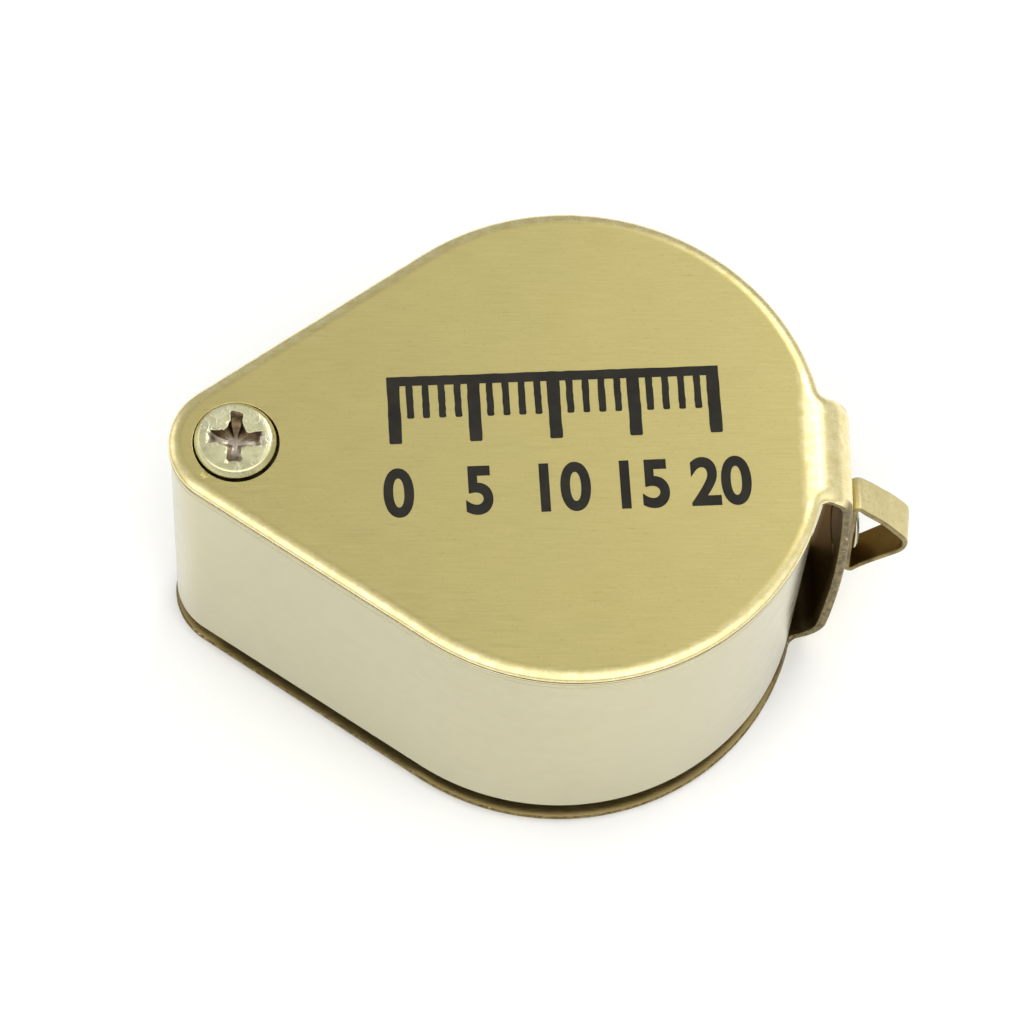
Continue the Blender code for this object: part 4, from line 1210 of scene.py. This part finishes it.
# the flush inner end takes the inside gold with its painted shade
rivet_part("rivet", "bail_rivet", soften([
    (0, FLUSH + 0.02), (0.9, FLUSH), (1.30, FLUSH + 0.01), (0.80, FLUSH + 0.38),
    (0.80, LEG_FACE + 0.05), (1.50, LEG_FACE + 0.05), (1.45, LEG_FACE + 0.16),
    (1.20, LEG_FACE + 0.31), (0.65, LEG_FACE + 0.39), (0, LEG_FACE + 0.42)], 0.05),
    [PALE_RIVET, INSIDE_GOLD], angle=40,
    band=lambda r0, h0, r1, h1: 1 if max(h0, h1) < FLUSH + 0.39 else 0)

# ------------------------------------------------------------------ printed scale, upper plate
PRINT_TURN = math.radians(2.4)
SCALE_X0, SCALE_X1 = -10.9, 9.1
INK_LOW, INK_HIGH = COVER_H - 0.004, COVER_H + 0.012
NUMERAL_Y, NUMERAL_H, NUMERAL_NARROW = -4.75, 3.35, 0.86


def turn_print(x, y):
    cos, sin = math.cos(PRINT_TURN), math.sin(PRINT_TURN)
    return x * cos - y * sin, x * sin + y * cos


def tick_x(k):
    return SCALE_X0 + (SCALE_X1 - SCALE_X0) * k / 20


def scale_outline():
    """The ruler line and its ticks as one outline."""
    rng = random.Random(7)

    def wobble():
        return rng.uniform(-0.02, 0.02)

    loop = [(SCALE_X0 - 0.4 + (SCALE_X1 - SCALE_X0 + 0.8) * i / 40, 4.85 + wobble())
            for i in range(41)]
    root = 4.2
    for k in range(20, -1, -1):
        x = tick_x(k)
        width, end = (0.80, 0.25) if k % 5 == 0 else (0.44, 1.95)
        steps = [root + (end + 0.08 - root) * i / 8 for i in range(9)]
        loop += [(x + width / 2 + wobble(), y) for y in steps]
        loop += [(x + width / 2 - 0.08, end), (x - width / 2 + 0.08, end)]
        loop += [(x - width / 2 + wobble(), y) for y in reversed(steps)]
    return [turn_print(*point) for point in reversed(loop)]


def scale_mesh():
    outline = scale_outline()
    bm = bmesh.new()
    low_ring = [bm.verts.new((x, y, INK_LOW)) for x, y in outline]
    high_ring = [bm.verts.new((x, y, INK_HIGH)) for x, y in outline]
    skin(bm, low_ring, high_ring)
    bm.faces.new(list(reversed(low_ring)))
    bm.faces.new(high_ring)
    return bm


def numeral_mesh(text):
    """Thin closed solid of a text in the built-in font at size 1."""
    curve = bpy.data.curves.new("numeral_outline", "FONT")
    curve.body = text
    curve.align_x = "CENTER"
    curve.size = 1.0
    curve.offset = 0.032
    curve.extrude = 0.01
    curve.resolution_u = 12
    curve.space_character = 1.02
    obj = bpy.data.objects.new("numeral_outline", curve)
    scene.collection.objects.link(obj)
    bpy.context.view_layer.update()
    graph = bpy.context.evaluated_depsgraph_get()
    mesh = bpy.data.meshes.new_from_object(obj.evaluated_get(graph))
    bm = bmesh.new()
    bm.from_mesh(mesh)
    bmesh.ops.remove_doubles(bm, verts=bm.verts, dist=1e-5)
    bpy.data.objects.remove(obj)
    bpy.data.curves.remove(curve)
    bpy.data.meshes.remove(mesh)
    return bm


def numerals_mesh():
    zero = numeral_mesh("0")
    low = min(vert.co.y for vert in zero.verts)
    tall = max(vert.co.y for vert in zero.verts) - low
    zero.free()
    whole = bmesh.new()
    for k in (0, 5, 10, 15, 20):
        part = numeral_mesh(str(k))
        for vert in part.verts:
            x = tick_x(k) + vert.co.x * NUMERAL_H / tall * NUMERAL_NARROW
            y = NUMERAL_Y + (vert.co.y - low) * NUMERAL_H / tall
            vert.co = Vector((*turn_print(x, y), INK_HIGH if vert.co.z > 0 else INK_LOW))
        mesh = bpy.data.meshes.new("numeral_part")
        part.to_mesh(mesh)
        part.free()
        whole.from_mesh(mesh)
        bpy.data.meshes.remove(mesh)
    return whole


make_piece("scale_marks", scale_mesh(), "cover", mats=[INK], angle=60)
make_piece("scale_numerals", numerals_mesh(), "cover", mats=[INK], angle=60)


# ------------------------------------------------------------------ floor, light, camera
def build_floor():
    bm = bmesh.new()
    bmesh.ops.create_grid(bm, x_segments=8, y_segments=8, size=1.0)
    mesh = bpy.data.meshes.new("floor")
    bm.to_mesh(mesh)
    bm.free()
    obj = bpy.data.objects.new("floor", mesh)
    scene.collection.objects.link(obj)
    obj.location = (0, 0, CAD_LO.z - 0.00002)
    n = Material("floor_paper")
    cloud = n.noise(n.coords(), scale=6.0)
    base = n.blend((0.90, 0.90, 0.89), (0.92, 0.92, 0.91), cloud)
    mesh.materials.append(n.finish(base, 0.65, metallic=0.0, Specular_IOR_Level=0.1))


BASE_LEVELS = (0.55, 0.66)                    # brightness at the horizon and high up
BACK_DIP = -0.10                              # change of brightness towards +Y
GROUND_LEVEL = 0.90                           # brightness below the horizon
DIFFUSE_BOOST = 0.22                          # extra share for diffuse rays
SOFT_BOXES = (    # azimuth, elevation, inner and outer half angle in degrees, level
    (-90, 57, 27, 40, 0.78), (-140, 42, 16, 32, 0.75), (-38, 44, 20, 36, 0.75),
    (53, 52, 9, 15, 3.0), (22, 20, 14, 34, 0.28), (152, 30, 12, 24, 0.9))


def direction(azimuth, elevation):
    azimuth, elevation = math.radians(azimuth), math.radians(elevation)
    return (math.cos(azimuth) * math.cos(elevation), math.sin(azimuth) * math.cos(elevation),
            math.sin(elevation))


def build_studio():
    """Even pale surroundings with soft boxes painted into the sky."""
    world = bpy.data.worlds.new("studio")
    scene.world = world
    world.use_nodes = True
    g = Graph(world.node_tree)
    way = g.add("ShaderNodeTexCoord").outputs["Generated"]
    axes = g.split(way)
    total = g.span(axes["Z"], over=(0.0, 0.75), to=BASE_LEVELS, kind="SMOOTHSTEP")
    dip = g.span(axes["Y"], over=(0.1, 0.8), to=(0.0, BACK_DIP), kind="SMOOTHSTEP")
    total = g.plus(total, dip)
    for azimuth, elevation, inner, outer, level in SOFT_BOXES:
        edges = (math.cos(math.radians(outer)), math.cos(math.radians(inner)))
        toward = g.dot(way, direction(azimuth, elevation))
        total = g.plus(total, g.span(toward, over=edges, to=(0.0, level), kind="SMOOTHSTEP"))
    ground = g.span(axes["Z"], over=(-0.06, 0.02), to=(1.0, 0.0), kind="SMOOTHSTEP")
    sky = g.math("SUBTRACT", 1.0, ground)
    total = g.plus(g.times(total, sky), g.times(ground, GROUND_LEVEL))
    diffuse_ray = g.add("ShaderNodeLightPath").outputs["Is Diffuse Ray"]
    boost = g.plus(1.0, g.times(diffuse_ray, DIFFUSE_BOOST))
    background = world.node_tree.nodes["Background"]
    g.feed(background.inputs["Strength"], g.times(total, boost))
    g.feed(background.inputs["Color"], (1.0, 1.0, 0.995))


CAMERA_AZIMUTH = math.radians(-6.341)         # from -Y
CAMERA_ELEVATION = math.radians(66.022)
CAMERA_ROLL = math.radians(5.818)
CAMERA_DISTANCE = 328.1
CAMERA_SHIFT = (-2.679, 5.586)                # to the right and up in the view
AIM_DEPTH = 24.685                            # aim point below the upper plate
SENSOR, FOCAL_LENGTH = 36, 172.848463


def build_camera():
    cos_az, sin_az = math.cos(CAMERA_AZIMUTH), math.sin(CAMERA_AZIMUTH)
    cos_el, sin_el = math.cos(CAMERA_ELEVATION), math.sin(CAMERA_ELEVATION)
    cos_roll, sin_roll = math.cos(CAMERA_ROLL), math.sin(CAMERA_ROLL)
    back = Vector((sin_az * cos_el, -cos_az * cos_el, sin_el))
    level_right = Vector((cos_az, sin_az, 0))
    level_up = back.cross(level_right)
    right = level_right * cos_roll + level_up * sin_roll
    up = -level_right * sin_roll + level_up * cos_roll
    eye = (right * CAMERA_SHIFT[0] + up * CAMERA_SHIFT[1] + back * CAMERA_DISTANCE
           + Vector((0, 0, TOP_Z - AIM_DEPTH)))
    data = bpy.data.cameras.new("camera")
    camera = bpy.data.objects.new("camera", data)
    scene.collection.objects.link(camera)
    pose = Matrix((right, up, back)).transposed().to_4x4()
    pose.translation = eye * MM
    camera.matrix_world = pose
    data.sensor_width = SENSOR
    data.lens = FOCAL_LENGTH
    data.clip_start = 0.005
    data.clip_end = 20
    scene.camera = camera


build_floor()
build_studio()
build_camera()
scene.view_settings.view_transform = "Standard"
scene.view_settings.look = "None"
scene.view_settings.exposure = 0.0
